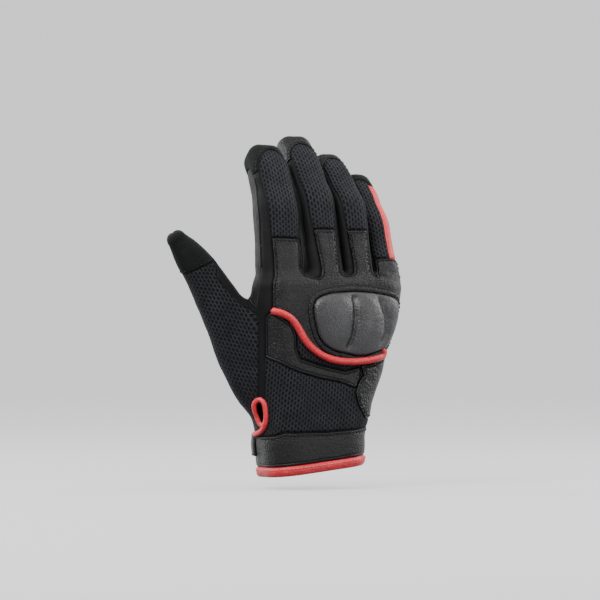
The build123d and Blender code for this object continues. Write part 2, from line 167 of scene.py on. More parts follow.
def poly_sdf(x, y, poly):
    """Signed distance to a closed outline, positive inside."""
    p = np.array(poly, float)
    q = np.roll(p, -1, axis=0)
    best = np.full(len(x), 1e18)
    inside = np.zeros(len(x), bool)
    for (ax, ay), (bx, by) in zip(p, q):
        ex, ey = bx - ax, by - ay
        wx, wy = x - ax, y - ay
        t = np.clip((wx * ex + wy * ey) / max(ex * ex + ey * ey, 1e-12), 0, 1)
        best = np.minimum(best, (wx - ex * t) ** 2 + (wy - ey * t) ** 2)
        if abs(ey) > 1e-12:
            c = ((ay <= y) & (y < by)) | ((by <= y) & (y < ay))
            inside ^= c & (x < ax + (y - ay) * ex / ey)
    return np.where(inside, 1, -1) * np.sqrt(best)


# ------------------------------------------------------------------ the form
# z, centre x, centre y, half width, half thickness, corner radius
HAND = [
    (-20, 0.0, 0.0, 33.4, 23.4, 19.0), (-6, 0.0, 0.0, 33.6, 23.6, 19.0), (18, -1.0, 0.0, 35.0, 24.0, 19.5),
    (24, -0.8, 0.0, 34.6, 23.4, 19.3), (30, 0.6, 0.0, 36.0, 23.4, 19.5), (45, 2.8, 0.0, 37.2, 22.2, 19.0), (65, 6.0, 0.0, 41.7, 19.8, 17.0),
    (85, 7.6, 0.0, 45.0, 18.6, 16.0), (105, 9.6, 0.0, 49.4, 18.0, 15.5), (124, 11.6, 0.2, 50.6, 16.4, 14.0), (131, 12.0, 0.4, 50.0, 15.4, 13.0),
]
HZ, (HCX, HCY, HA, HB, HR) = smooth_rows(HAND)
TOP = 127.3
EX, EY = 0.9063, -0.4226           # the view plane: u = EX*x + EY*y


def hand_rows(z):
    return [np.interp(z, HZ, c) for c in (HCX, HCY, HA, HB, HR)]


def hand_sdf(P):
    cx, cy, a, b, r = hand_rows(P[:, 2])
    d = rrect(P[:, 0] - cx, P[:, 1] - cy, a, b, r)
    R = 8.0
    top = TOP - 2.6 * step01((P[:, 0] - 40) / 18) - 1.2 * step01((-30 - P[:, 0]) / 10)
    q1, q2 = d + R, P[:, 2] - top + R
    return np.hypot(np.maximum(q1, 0), np.maximum(q2, 0)) + np.minimum(np.maximum(q1, q2), 0) - R


class Finger:
    def __init__(self, name, p, lean, tilt, L, w, t, tab, cb, arch, cap, mid):
        self.name, self.p, self.L, self.tab, self.arch, self.cap = name, np.array(p, float), L, tab, arch, cap
        la = math.radians(lean)
        self.h = np.array([math.cos(la), 0, -math.sin(la)])
        self.up = np.array([math.sin(la), 0, math.cos(la)])
        self.end = float(sum(L))
        s = np.arange(-18, self.end + 0.25, 0.5)
        th = tilt[0] + (tilt[1] - tilt[0]) * step01((s - L[0]) / 18 + 0.5) + (tilt[2] - tilt[1]) * step01((s - L[0] - L[1]) / 14 + 0.5)
        th = np.radians(th)
        self.s, self.tA, self.tB = s, np.cos(th), np.sin(th)
        A = np.r_[0, np.cumsum((self.tA[1:] + self.tA[:-1]) / 2 * 0.5)]
        B = np.r_[0, np.cumsum((self.tB[1:] + self.tB[:-1]) / 2 * 0.5)]
        i0 = int(np.argmin(np.abs(s)))
        self.A, self.B = A - A[i0], B - B[i0]
        self.w, self.t, self.cb, self.mid = w, t, np.array(cb, float), mid

    def dims(self, s):
        k = np.clip(s / self.end, 0, 1)
        w = self.w[0] + (self.w[1] - self.w[0]) * k ** 2
        t = self.t[0] + (self.t[1] - self.t[0]) * k ** 1.5
        swell = 0.55 * np.exp(-((s - self.L[0]) / 8.0) ** 2) - 0.45 * np.exp(-((s - self.L[0] * 0.45) / 8.0) ** 2) - 0.4 * np.exp(-((s - self.L[0] - self.L[1] * 0.5) / 6.0) ** 2)
        w, t = w + 0.6 * swell, t + swell
        return w, t, 0.76 * np.minimum(w, t)

    def chart(self, P):
        v = P - self.p
        x, A, B = v @ self.h, v @ self.up, v[:, 1]
        idx = np.empty(len(P), int)
        for i in range(0, len(P), 20000):
            j = i + 20000
            idx[i:j] = np.argmin((A[i:j, None] - self.A) ** 2 + (B[i:j, None] - self.B) ** 2, axis=1)
        dA, dB = A - self.A[idx], B - self.B[idx]
        s = self.s[idx] + dA * self.tA[idx] + dB * self.tB[idx]
        return s, x, -dA * self.tB[idx] + dB * self.tA[idx]

    def sdf(self, s, x, y):
        w, t, r = self.dims(s)
        qx, qy = np.abs(x) - (w - r), np.abs(y) - (t - r)
        over = np.maximum(s - self.end, 0)
        d = np.sqrt(np.maximum(qx, 0) ** 2 + np.maximum(qy, 0) ** 2 + over ** 2) + np.where(over > 0, 0, np.minimum(np.maximum(qx, qy), 0)) - r
        return np.maximum(d + 0.32 * np.maximum(-3 - s, 0), -16 - s)

    def half(self, s):
        """Half width of the back panel at s, measured round the finger."""
        return np.interp(s, self.cb[:, 0], self.cb[:, 1])

    def at(self, s, x=0.0, y=0.0):
        A, B = np.interp(s, self.s, self.A), np.interp(s, self.s, self.B)
        tA, tB = np.interp(s, self.s, self.tA), np.interp(s, self.s, self.tB)
        s = np.asarray(s, float)
        A = A + np.maximum(s - self.s[-1], 0) * tA + np.minimum(s - self.s[0], 0) * tA
        B = B + np.maximum(s - self.s[-1], 0) * tB + np.minimum(s - self.s[0], 0) * tB
        c = self.p + np.multiply.outer(A - y * tB, self.up) + np.multiply.outer(x, self.h)
        c = np.array(c, float)
        c[..., 1] += B + y * tA
        return c


FINGERS = [
    Finger("index", (-22.6, 1.0, 127.0), 1.8, (10, 28, 42), (42, 26, 14), (14.3, 11.8), (12.4, 10.6), 22.0,
           [(-20, 10.2), (8, 10.2), (22, 10.6), (38, 11.8), (58, 12.8), (74, 12.2), (90, 11.7)], 81.5, 66.0, -0.4),
    Finger("middle", (8.0, -1.0, 127.0), 0.0, (16, 38, 52), (48, 30, 18), (12.1, 11.2), (12.4, 10.6), 27.5,
           [(-20, 6.8), (4, 6.8), (27, 8.4), (38, 9.8), (62, 11.2), (84, 10.6), (100, 10)], 90.5, 79.0, 0.6),
    Finger("ring", (32.0, 0.2, 127.0), 0.0, (14, 46, 60), (44, 28, 15), (10.4, 9.9), (11.6, 9.8), 27.4,
           [(-20, 6.4), (4, 6.4), (27, 7.6), (36, 8.8), (58, 10.2), (80, 9.8), (96, 9)], 83.5, 73.0, 0.6),
    Finger("little", (53.3, 3.2, 125.0), 0.0, (24, 40, 50), (38, 22, 13), (9.3, 8.8), (10.6, 8.8), 9.6,
           [(-20, 7.6), (6, 7.6), (12, 7.4), (30, 7.6), (60, 8.2), (80, 7.6)], 70.5, 62.0, -1.4),
]
THUMB = [
    ((-19.0, 5.5, 34.0), 14.0, 12.0), ((-24.0, 7.0, 44.0), 15.5, 13.5), ((-31.2, 9.0, 55.1), 18.2, 14.0), ((-40.9, 12.9, 74.7), 18.0, 13.6),
    ((-51.2, 16.9, 97.4), 15.5, 12.4), ((-65.8, 21.9, 125.0), 12.1, 10.8), ((-76.6, 23.6, 140.2), 9.5, 9.4), ((-84.2, 24.9, 149.8), 6.0, 7.6),
]
TAX = np.array([-0.765593, 0.35699, -0.535187])


class Thumb:
    def __init__(self):
        rows = catmull([list(p) + [w, t] for p, w, t in THUMB], 24)
        rows = resample(rows, 0.5)
        self.P, self.w, self.t = rows[:, :3], rows[:, 3], rows[:, 4]
        T = np.gradient(self.P, axis=0)
        T /= np.linalg.norm(T, axis=1)[:, None]
        ax = TAX - T * (T @ TAX)[:, None]
        ax /= np.linalg.norm(ax, axis=1)[:, None]
        self.T, self.ax, self.n = T, ax, np.cross(ax, T)
        self.s = np.r_[0, np.cumsum(np.linalg.norm(np.diff(self.P, axis=0), axis=1))]
        self.end = self.s[-1]
        self.s3 = self.s[np.argmin(np.linalg.norm(self.P - THUMB[4][0], axis=1))]
        self.s4 = self.s[np.argmin(np.linalg.norm(self.P - THUMB[5][0], axis=1))]

    def chart(self, P):
        idx = np.empty(len(P), int)
        for i in range(0, len(P), 20000):
            j = i + 20000
            q = P[i:j]
            d2 = (q ** 2).sum(1)[:, None] - 2 * q @ self.P.T + (self.P ** 2).sum(1)
            idx[i:j] = np.argmin(d2, axis=1)
        v = P - self.P[idx]
        s = self.s[idx] + (v * self.T[idx]).sum(1)
        return s, (v * self.ax[idx]).sum(1), (v * self.n[idx]).sum(1)

    def dims(self, s):
        w, t = np.interp(s, self.s, self.w), np.interp(s, self.s, self.t)
        return w, t, 0.78 * np.minimum(w, t)

    def sdf(self, s, x, y):
        w, t, r = self.dims(s)
        qx, qy = np.abs(x) - (w - r), np.abs(y) - (t - r)
        over = np.maximum(s - self.end, 0)
        d = np.sqrt(np.maximum(qx, 0) ** 2 + np.maximum(qy, 0) ** 2 + over ** 2) + np.where(over > 0, 0, np.minimum(np.maximum(qx, qy), 0)) - r
        return np.maximum(d, -s)

    def at(self, s, x=0.0, y=0.0):
        P = np.column_stack([np.interp(s, self.s, self.P[:, i]) for i in range(3)])
        ax = np.column_stack([np.interp(s, self.s, self.ax[:, i]) for i in range(3)])
        n = np.column_stack([np.interp(s, self.s, self.n[:, i]) for i in range(3)])
        T = np.column_stack([np.interp(s, self.s, self.T[:, i]) for i in range(3)])
        x, y = np.atleast_1d(x)[:, None], np.atleast_1d(y)[:, None]
        return P + T * np.maximum(np.atleast_1d(s) - self.end, 0)[:, None] + ax * x + n * y


TH = Thumb()


def field(P):
    d = hand_sdf(P)
    m = (P[:, 0] < 12) & (P[:, 2] > 20)
    if m.any():
        s, x, y = TH.chart(P[m])
        d[m] = smin(d[m], TH.sdf(s, x, y), 11.0)
    m = P[:, 2] > 98
    if m.any():
        Q = P[m]
        f = np.full(len(Q), 1e3)
        for F in FINGERS:
            s, x, y = F.chart(Q)
            f = np.minimum(f, F.sdf(s, x, y))
        d[m] = smin(d[m], f, 4.0)
    return d


def gradient(P, e=0.25):
    g = np.empty_like(P)
    for i in range(3):
        o = np.zeros(3)
        o[i] = e
        g[:, i] = field(P + o) - field(P - o)
    n = np.linalg.norm(g, axis=1)
    return g / np.maximum(n, 1e-9)[:, None], n / (2 * e)


def surface(h=1.15):
    lo, hi = np.array([-98.0, -34.0, -9.0]), np.array([72.0, 64.0, 226.0])
    n = np.ceil((hi - lo) / h).astype(int) + 1
    c = 4
    nc = np.ceil((n - 1) / c).astype(int) + 1
    ax = [lo[i] + np.arange(nc[i]) * h * c for i in range(3)]
    G = np.stack(np.meshgrid(*ax, indexing="ij"), -1).reshape(-1, 3)
    coarse = field(G).reshape(nc)
    full = np.repeat(np.repeat(np.repeat(coarse, c, 0), c, 1), c, 2)[:n[0], :n[1], :n[2]].astype(np.float32)
    full = np.where(full > 0, 9.0, -9.0).astype(np.float32)
    # cells of the coarse grid that the surface may cross
    near = np.abs(coarse) < h * c * 1.9
    idx = np.argwhere(near)
    off = np.stack(np.meshgrid(*[np.arange(-c // 2, c // 2 + 1)] * 3, indexing="ij"), -1).reshape(-1, 3)
    mask = np.zeros(n, bool)
    for o in off:
        q = idx * c + o
        ok = np.all((q >= 0) & (q < n), axis=1)
        q = q[ok]
        mask[q[:, 0], q[:, 1], q[:, 2]] = True
    q = np.argwhere(mask)
    val = np.empty(len(q))
    for i in range(0, len(q), 200000):
        val[i:i + 200000] = field(lo + q[i:i + 200000] * h)
    full[mask] = val
    log("grid", n, "fine points", len(q))
    # surface nets
    inside = full < 0
    cellsum = np.zeros(n - 1, np.int8)
    for dx in (0, 1):
        for dy in (0, 1):
            for dz in (0, 1):
                cellsum += inside[dx:n[0] - 1 + dx, dy:n[1] - 1 + dy, dz:n[2] - 1 + dz]
    active = (cellsum > 0) & (cellsum < 8)
    ids = np.full(n - 1, -1)
    cells = np.argwhere(active)
    ids[active] = np.arange(len(cells))
    acc, cnt = np.zeros((len(cells), 3)), np.zeros(len(cells))
    corners = [(i, j, k) for i in (0, 1) for j in (0, 1) for k in (0, 1)]
    for a in corners:
        for ax_ in range(3):
            if a[ax_] == 0:
                b = list(a)
                b[ax_] = 1
                va = full[cells[:, 0] + a[0], cells[:, 1] + a[1], cells[:, 2] + a[2]]
                vb = full[cells[:, 0] + b[0], cells[:, 1] + b[1], cells[:, 2] + b[2]]
                x = (va < 0) != (vb < 0)
                t = np.where(x, va / np.where(x, va - vb, 1), 0)
                p = np.array(a, float) + (np.array(b) - np.array(a)) * t[:, None]
                acc += np.where(x[:, None], p, 0)
                cnt += x
    V = lo + (cells + acc / cnt[:, None]) * h
    quads = []
    for ax_ in range(3):
        sl0 = [slice(1, n[i] - 1) for i in range(3)]
        sl0[ax_] = slice(0, n[ax_] - 1)
        sl1 = list(sl0)
        sl1[ax_] = slice(1, n[ax_])
        a, b = inside[tuple(sl0)], inside[tuple(sl1)]
        e = np.argwhere(a != b)
        flip = a[a != b]
        e = e + np.array([s.start for s in sl0])
        u, v = [(1, 2), (2, 0), (0, 1)][ax_]
        c4 = []
        for du, dv in ((0, 0), (1, 0), (1, 1), (0, 1)):
            q = e.copy()
            q[:, u] -= du
            q[:, v] -= dv
            c4.append(ids[q[:, 0], q[:, 1], q[:, 2]])
        quad = np.stack(c4, 1)
        # counter-clockwise from outside when the lower side is inside
        quad[flip] = quad[flip][:, ::-1]
        quads.append(quad)
    Q = np.vstack(quads)
    Q = Q[np.all(Q >= 0, axis=1)]
    return V, Q


V, Q = surface()
log("net", len(V), "verts", len(Q), "quads")
# even out, then settle on the surface
E = np.vstack([Q[:, [0, 1]], Q[:, [1, 2]], Q[:, [2, 3]], Q[:, [3, 0]]])
deg = np.bincount(E.ravel(), minlength=len(V)).astype(float)
for it in range(3):
    s = np.zeros_like(V)
    for i in range(3):
        s[:, i] = np.bincount(E[:, 0], V[E[:, 1], i], len(V)) + np.bincount(E[:, 1], V[E[:, 0], i], len(V))
    avg = s / deg[:, None]
    V = V + 0.5 * (avg - V)
    g, m = gradient(V)
    V -= g * (np.clip(field(V) / np.maximum(m, 0.3), -0.8, 0.8))[:, None]
d1 = np.linalg.norm(V[Q[:, 0]] - V[Q[:, 2]], axis=1)
d2 = np.linalg.norm(V[Q[:, 1]] - V[Q[:, 3]], axis=1)
T = np.where((d1 < d2)[:, None, None], Q[:, [[0, 1, 2], [0, 2, 3]]], Q[:, [[0, 1, 3], [1, 2, 3]]]).reshape(-1, 3)
c = np.cross(V[T[:, 1]] - V[T[:, 0]], V[T[:, 2]] - V[T[:, 0]])
g, _ = gradient(V)
if (c * g[T[:, 0]]).sum() < 0:
    T = T[:, ::-1].copy()
log("surface", len(V), len(T))

# soft creases in the skin, kept small so that neighbouring panels still meet
g, _ = gradient(V)
V = V + g * (0.26 * noise3(V, 11.0, 3) + 0.13 * noise3(V, 5.0, 4) * step01((V[:, 2] - 20) / 10))[:, None]

# ------------------------------------------------------------------ charts and seam fields
X, Y, Z = V.T
u = EX * X + EY * Y
dh = hand_sdf(V)
own_s, own_d = np.zeros(len(V)), np.full(len(V), 1e3)
chart = []
for F in FINGERS:
    s, x, y = F.chart(V)
    w, t, r = F.dims(s)
    chart.append(dict(s=s, x=x, y=y, c=perim(x, y, w, t, r), d=F.sdf(s, x, y)))
FD = np.array([k["d"] for k in chart])
who = np.argmin(FD, axis=0)
dF = FD.min(0)
ts, tx, ty = TH.chart(V)
tw, tt, tr = TH.dims(ts)
tc = perim(tx, ty, tw, tt, tr)
dT = TH.sdf(ts, tx, ty)
D = np.vstack([dh, FD, dT])
W = np.exp(-(D - D.min(0)) / 2.5)
W /= W.sum(0)
ysp = np.interp(X, [-45, -30, -10, 60], [-3, -2, 3, 3])
q = W[0] * (Y - ysp)
for i, k in enumerate(chart):
    a, b = [(-3, 3), (3, 3), (3, 3), (3, 1)][i]
    q = q + W[i + 1] * (k["y"] - np.interp(k["x"], [-8, 8], [a, b]))
q = q + W[5] * (ty - 2.0)
back = -q


def px(pts):
    return [((a - 311) * 0.65, (470 - b) * 0.65) for a, b in pts]


PIPE = px([(272, 311), (285, 314), (293, 321), (300, 332), (306, 342), (315, 351), (325, 357), (340, 361), (360, 361), (372, 359), (383, 355), (389, 349)])
pu, pz = np.array(PIPE).T
zp = np.interp(u, np.r_[pu, 60], np.r_[pz, 92])
top = np.full(len(V), -99.0)
for F, k in zip(FINGERS, chart):
    c0 = {"little": 1.5, "index": 1.2}.get(F.name, 0.0)
    cb = 10.5 if F.name == "little" else F.half(k["s"])
    near = np.minimum(5 - (k["d"] - dF), 9 - k["d"])
    top = np.maximum(top, np.minimum(np.minimum(cb - np.abs(k["c"] - c0), (F.tab - k["s"]) * 1.0), near))
z0 = np.interp(u, [-30, -0.65, 21.5, 42.8, 56], [127, 123.5, 126, 123.5, 121])
K = smax(z0 - Z, top, 6.0)
lf = step01((Z - 118) / 10)
left = (1 - lf) * (u + 25.35) + lf * (FINGERS[0].half(chart[0]["s"]) + chart[0]["c"] - 1.2)
K = np.minimum(np.minimum(K, left), np.minimum(Z - zp, back))
others = np.minimum(dh, dF)
uL = np.interp(Z, [40, 100, 108, 130], [-33.8, -33.8, -33.2, -33.2])
uR = np.interp(Z, [40, 95, 104, 130], [-29.9, -29.9, -25.2, -25.0])
mix = step01((Z - 97) / 9)
thumbland = (1 - mix) * (uL - u) + mix * (others - dT) * 0.7
thumbland = np.where(Z < 30, np.minimum(thumbland, Z - 24), thumbland)
side = np.minimum(back, np.maximum(np.minimum(Z - 117, 30 - dT * 0), np.minimum(np.minimum(uR - u, Z - 44), 20)))
side = np.minimum(side, -thumbland)
strip_l = -thumbland
band = poly_sdf(u, Z, [(-30.5, 99.5), (-26, 103.0), (-24, 104), (-12, 95), (-9.1, 88), (-9.1, 84.5), (-8.6, 78), (-6.4, 72.8), (7.2, 68.3), (22.1, 64.6), (31.9, 67.6), (31.9, 52.5),
                      (26.7, 54), (18.9, 57.2), (5.9, 59.8), (-7.2, 63.7), (-13.7, 66.3), (-20.2, 69.6), (-30.5, 73.6)])
band = np.minimum(band, np.minimum(back, u - (-29.7)))
grip = poly_sdf(u, Z, [(31.9, 68.3), (33.8, 61.8), (30.6, 57.2), (28.6, 50.7), (30.6, 42.3), (35.1, 33.5), (75, 33.5), (75, 88), (54, 82), (49.5, 77), (45.5, 72.3), (40, 69.6)])
grip = np.minimum(grip, np.where(Y > 2.8, 2.8 - Y, back) + 0)
grip = np.where(X < 0, -5, grip)
mesh_f, cap_f, red_f = np.full(len(V), -99.0), np.full(len(V), -99.0), np.full(len(V), -99.0)
for F, k in zip(FINGERS, chart):
    near = np.minimum(5 - (k["d"] - dF), 4 - k["d"])
    if F.name == "little":
        cc, hb = k["c"] + 3.0, np.interp(k["s"], [0, 20, 60, 80], [6.4, 6.2, 6.6, 6.4])
    else:
        cc, hb = k["c"] - (1.2 if F.name == "index" else 0.0), F.half(k["s"])
    arch = F.arch - 8.0 * (cc / 10.0) ** 2
    m = np.minimum(np.minimum(hb - np.abs(cc), k["s"] - F.tab), arch - k["s"])
    mesh_f = np.maximum(mesh_f, np.minimum(m, near))
    cap_f = np.maximum(cap_f, np.minimum(k["s"] - F.cap - 9.0 * step01(q / 5.0), near))
    if F.name == "little":
        r_ = np.minimum(np.minimum(k["c"] - 3.0, k["s"] - F.tab), np.minimum(F.cap + 3 - k["s"], near))
        red_f = np.minimum(r_, back + 1.5)
mesh_f = np.minimum(mesh_f, back + 2)
gus = np.minimum(back, thumbland)
tcap = np.minimum(ts - (TH.s4 + 8.5) - 0.19 * tx, thumbland)
quarter = (tw - tr) + tr * math.pi / 2 + (tt - tr)
tside = np.minimum(np.minimum(-tc - quarter * np.interp(ts, [TH.s4 - 40, TH.s4 - 24, TH.s4 - 4, TH.s4 + 9], [0.75, 0.52, 0.34, 0.86]), 12 - ty), np.minimum(thumbland, ts - TH.s3 + 14 - 0.0 * ts))
tside = np.minimum(tside, 7.0 - ty)
ztop = np.interp(X, [-40, -33, -28, 0, 20, 32, 42], [22, 23, 25.2, 25.4, 26.7, 28.2, 30])
cuff = ztop - Z
hemf = 6.4 - (Z - 0.12 * X)
gone = -(Z - 0.12 * X)
hole = np.minimum((1 - np.hypot((u + 32.6) / 2.5, (Z - 37.6) / 6.4)) * 2.5, 6 - np.where(X < -15, 0, 99) - np.maximum(Y - 2, 0))
P0 = np.array([F.p for F in FINGERS])
D0 = np.array([F.at(10.0) - F.at(0.0) for F in FINGERS])
D0 /= np.linalg.norm(D0, axis=1)[:, None]
slin = ((V - P0[who]) * D0[who]).sum(1)
own_s = np.choose(who, [k["s"] for k in chart])
zb = np.where(Z > 112, np.minimum(slin - 1.5, (others - dh * 0) * 0 + 40), -20)
zb = np.where((dT < others), -20, zb)
zs = np.where(zb > -3, own_s - 18.0, -20)
TP = np.array([-49.2, 16.0, 98.8])
TD = np.array([-0.5085, 0.1737, 0.8433])
tlin = (V - TP) @ TD
tb = np.where(dT < others + 0.5, tlin - 1.5, -20)
tb = np.where(tlin < 1.0, tlin - 1.5, tb)
tsplit = np.where(tb > -3, tlin - 23.0, -20)

REG = [("gus", gus), ("side", side), ("band", band), ("grip", grip), ("K", K), ("cap", cap_f), ("meshf", mesh_f), ("red", red_f),
       ("tcap", tcap), ("tside", tside), ("cuff", cuff), ("hem", hemf), ("gone", gone), ("hole", hole)]
NAMES = [n for n, _ in REG]
cols = {"back": back}
cols.update(dict(REG))
cols.update(zb=zb, zs=zs, tb=tb, tsplit=tsplit)
# chart coordinates carried along for the weave of the fabrics
hc = perim(X - np.interp(Z, HZ, HCX), Y - np.interp(Z, HZ, HCY), *hand_rows(Z)[2:])
own_c = np.choose(who, [k["c"] for k in chart])
fing = step01((Z - 120) / 8)
wu, wv = np.where(dF < dh, own_c, hc), np.where(dF < dh, own_s + 127, Z)
wu, wv = np.where(thumbland > 0, tc, wu), np.where(thumbland > 0, ts, wv)
cols.update(wu=wu, wv=wv, who=who.astype(float), thumb=(dT < others + 0.5).astype(float), q=q, u=u)
KEYS = list(cols)
A = np.column_stack([cols[k] for k in KEYS])
COL = {k: i for i, k in enumerate(KEYS)}
log("fields")

locked = np.zeros(len(V), bool)


def cut(name):
    """Splits the triangles along the zero line of a field, nudging free corners onto it."""
    global V, A, T, locked
    c = COL[name]
    f = A[:, c].copy()
    f[np.abs(f) < 1e-9] = 1e-9
    E = np.sort(np.vstack([T[:, [0, 1]], T[:, [1, 2]], T[:, [2, 0]]]), axis=1)
    E = np.unique(E, axis=0)
    x = (f[E[:, 0]] < 0) != (f[E[:, 1]] < 0)
    E = E[x]
    if not len(E):
        return
    t = f[E[:, 0]] / (f[E[:, 0]] - f[E[:, 1]])
    best = {}
    for (a, b), k in zip(E, t):
        for i, j, tau in ((a, b, k), (b, a, 1 - k)):
            lim = 0.05 if locked[i] else 0.27
            if tau < lim and (i not in best or tau < best[i][0]):
                best[i] = (tau, j)
    zero = np.zeros(len(V), bool)
    for i, (tau, j) in best.items():
        if not locked[i]:
            V[i] = V[i] + (V[j] - V[i]) * tau
            A[i] = A[i] + (A[j] - A[i]) * tau
        zero[i] = True
    f[zero] = 0
    A[zero, c] = 0
    locked |= zero
    keep = ~(zero[E[:, 0]] | zero[E[:, 1]])
    E = E[keep]
    t = (f[E[:, 0]] / (f[E[:, 0]] - f[E[:, 1]]))[:, None]
    n0 = len(V)
    V = np.vstack([V, V[E[:, 0]] * (1 - t) + V[E[:, 1]] * t])
    A = np.vstack([A, A[E[:, 0]] * (1 - t) + A[E[:, 1]] * t])
    A[n0:, c] = 0
    locked = np.r_[locked, np.ones(len(E), bool)]
    f = np.r_[f, np.zeros(len(E))]
    key = {(int(a), int(b)): n0 + i for i, (a, b) in enumerate(E)}
    sg = np.sign(f[T])
    mixed = (sg.max(1) > 0) & (sg.min(1) < 0)
    out = [T[~mixed]]
    new = []
    for tri in T[mixed]:
        tri = [int(v) for v in tri]
        s = [np.sign(f[v]) for v in tri]
        if 0 in s:
            i = s.index(0)
            a, b, cc = tri[i], tri[(i + 1) % 3], tri[(i + 2) % 3]
            m = key[(min(b, cc), max(b, cc))]
            new += [(a, b, m), (a, m, cc)]
        else:
            i = [k for k in range(3) if s[k] != s[(k + 1) % 3] and s[k] != s[(k + 2) % 3]][0]
            a, b, cc = tri[i], tri[(i + 1) % 3], tri[(i + 2) % 3]
            m1, m2 = key[(min(a, b), max(a, b))], key[(min(a, cc), max(a, cc))]
            new.append((a, m1, m2))
            if np.sum((V[m1] - V[cc]) ** 2) < np.sum((V[m2] - V[b]) ** 2):
                new += [(m1, b, cc), (m1, cc, m2)]
            else:
                new += [(m1, b, m2), (m2, b, cc)]
    out.append(np.array(new, int).reshape(-1, 3))
    T = np.vstack(out)


for n in ["gone", "back"] + [n for n in NAMES if n != "gone"] + ["zb", "zs", "tb", "tsplit"]:
    cut(n)
log("cut", len(V), len(T))

S = A[T].sum(1)
lab = np.where(S[:, COL["back"]] > 0, 1, 0)            # 0 palm, 1 mesh back
LAB = ["palm", "hback"] + NAMES
for i, n in enumerate(NAMES):
    lab[S[:, COL[n]] > 0] = i + 2
zone = np.zeros(len(T), int)                           # 0 hand, 1 base, 2 tip
zone[S[:, COL["zb"]] > 0] = 1
zone[(S[:, COL["zb"]] > 0) & (S[:, COL["zs"]] > 0)] = 2
isth = S[:, COL["tb"]] > 0
zone[isth] = 1
zone[isth & (S[:, COL["tsplit"]] > 0)] = 2
fid = np.where(isth, 4, np.clip(np.round(S[:, COL["who"]] / 3), 0, 3).astype(int))
TFULL = T[lab != LAB.index("gone")]
keep = ~np.isin(lab, [LAB.index("gone"), LAB.index("hole")])
T, lab, zone, fid = T[keep], lab[keep], zone[keep], fid[keep]
log("labels", {LAB[i]: int((lab == i).sum()) for i in range(len(LAB))})

# ------------------------------------------------------------------ materials
def mat(name):
    m = bpy.data.materials.new(name)
    m.use_nodes = True
    nt = m.node_tree
    for n in list(nt.nodes):
        nt.nodes.remove(n)
    out = nt.nodes.new("ShaderNodeOutputMaterial")
    b = nt.nodes.new("ShaderNodeBsdfPrincipled")
    nt.links.new(b.outputs[0], out.inputs[0])
    return m, nt, b


class Net:
    """Short hands for building a node tree."""

    def __init__(self, name):
        self.m, self.nt, self.b = mat(name)

    def n(self, kind, **kw):
        o = self.nt.nodes.new(kind)
        for k, v in kw.items():
            setattr(o, k, v)
        return o

    def l(self, a, b):
        self.nt.links.new(a, b)

    def attr(self, name):
        return self.n("ShaderNodeAttribute", attribute_name=name)

    def math(self, op, a, b=None, c=None, clamp=False):
        o = self.n("ShaderNodeMath", operation=op, use_clamp=clamp)
        for i, v in enumerate((a, b, c)):
            if v is None:
                continue
            if isinstance(v, (int, float)):
                o.inputs[i].default_value = v
            else:
                self.l(v, o.inputs[i])
        return o.outputs[0]

    def noise(self, vec, scale, detail=3, rough=0.55):
        o = self.n("ShaderNodeTexNoise")
        o.inputs["Scale"].default_value = scale
        o.inputs["Detail"].default_value = detail
        o.inputs["Roughness"].default_value = rough
        self.l(vec, o.inputs["Vector"])
        return o.outputs[0]

    def vor(self, vec, scale, feature="F1", rnd=1.0):
        o = self.n("ShaderNodeTexVoronoi", feature=feature)
        o.inputs["Scale"].default_value = scale
        o.inputs["Randomness"].default_value = rnd
        self.l(vec, o.inputs["Vector"])
        return o.outputs[0]

    def ramp(self, f, stops):
        o = self.n("ShaderNodeValToRGB")
        cr = o.color_ramp
        while len(cr.elements) < len(stops):
            cr.elements.new(0.5)
        for e, (p, col) in zip(cr.elements, stops):
            e.position = p
            e.color = (*col, 1)
        self.l(f, o.inputs[0])
        return o.outputs[0]

    def rng(self, f, a, b, c, d, smooth=True):
        o = self.n("ShaderNodeMapRange", interpolation_type="SMOOTHSTEP" if smooth else "LINEAR")
        self.l(f, o.inputs[0])
        for i, v in enumerate((a, b, c, d)):
            o.inputs[i + 1].default_value = v
        return o.outputs[0]

    def mixc(self, f, a, b):
        o = self.n("ShaderNodeMix", data_type="RGBA")
        for k, v in ((0, f), (6, a), (7, b)):
            if isinstance(v, tuple):
                o.inputs[k].default_value = (*v, 1)
            elif isinstance(v, (int, float)):
                o.inputs[k].default_value = v
            else:
                self.l(v, o.inputs[k])
        return o.outputs[2]

    def bump(self, h, dist, strength=1.0):
        o = self.n("ShaderNodeBump")
        o.inputs["Distance"].default_value = dist
        o.inputs["Strength"].default_value = strength
        self.l(h, o.inputs["Height"])
        self.l(o.outputs[0], self.b.inputs["Normal"])
        return o

    def set(self, **kw):
        for k, v in kw.items():
            s = self.b.inputs[k.replace("_", " ")]
            if isinstance(v, tuple) and len(v) == 3:
                v = (*v, 1)
            s.default_value = v


def lin(*rgb):
    return tuple(((v / 255) / 12.92 if v / 255 <= 0.04045 else ((v / 255 + 0.055) / 1.055) ** 2.4) for v in rgb)


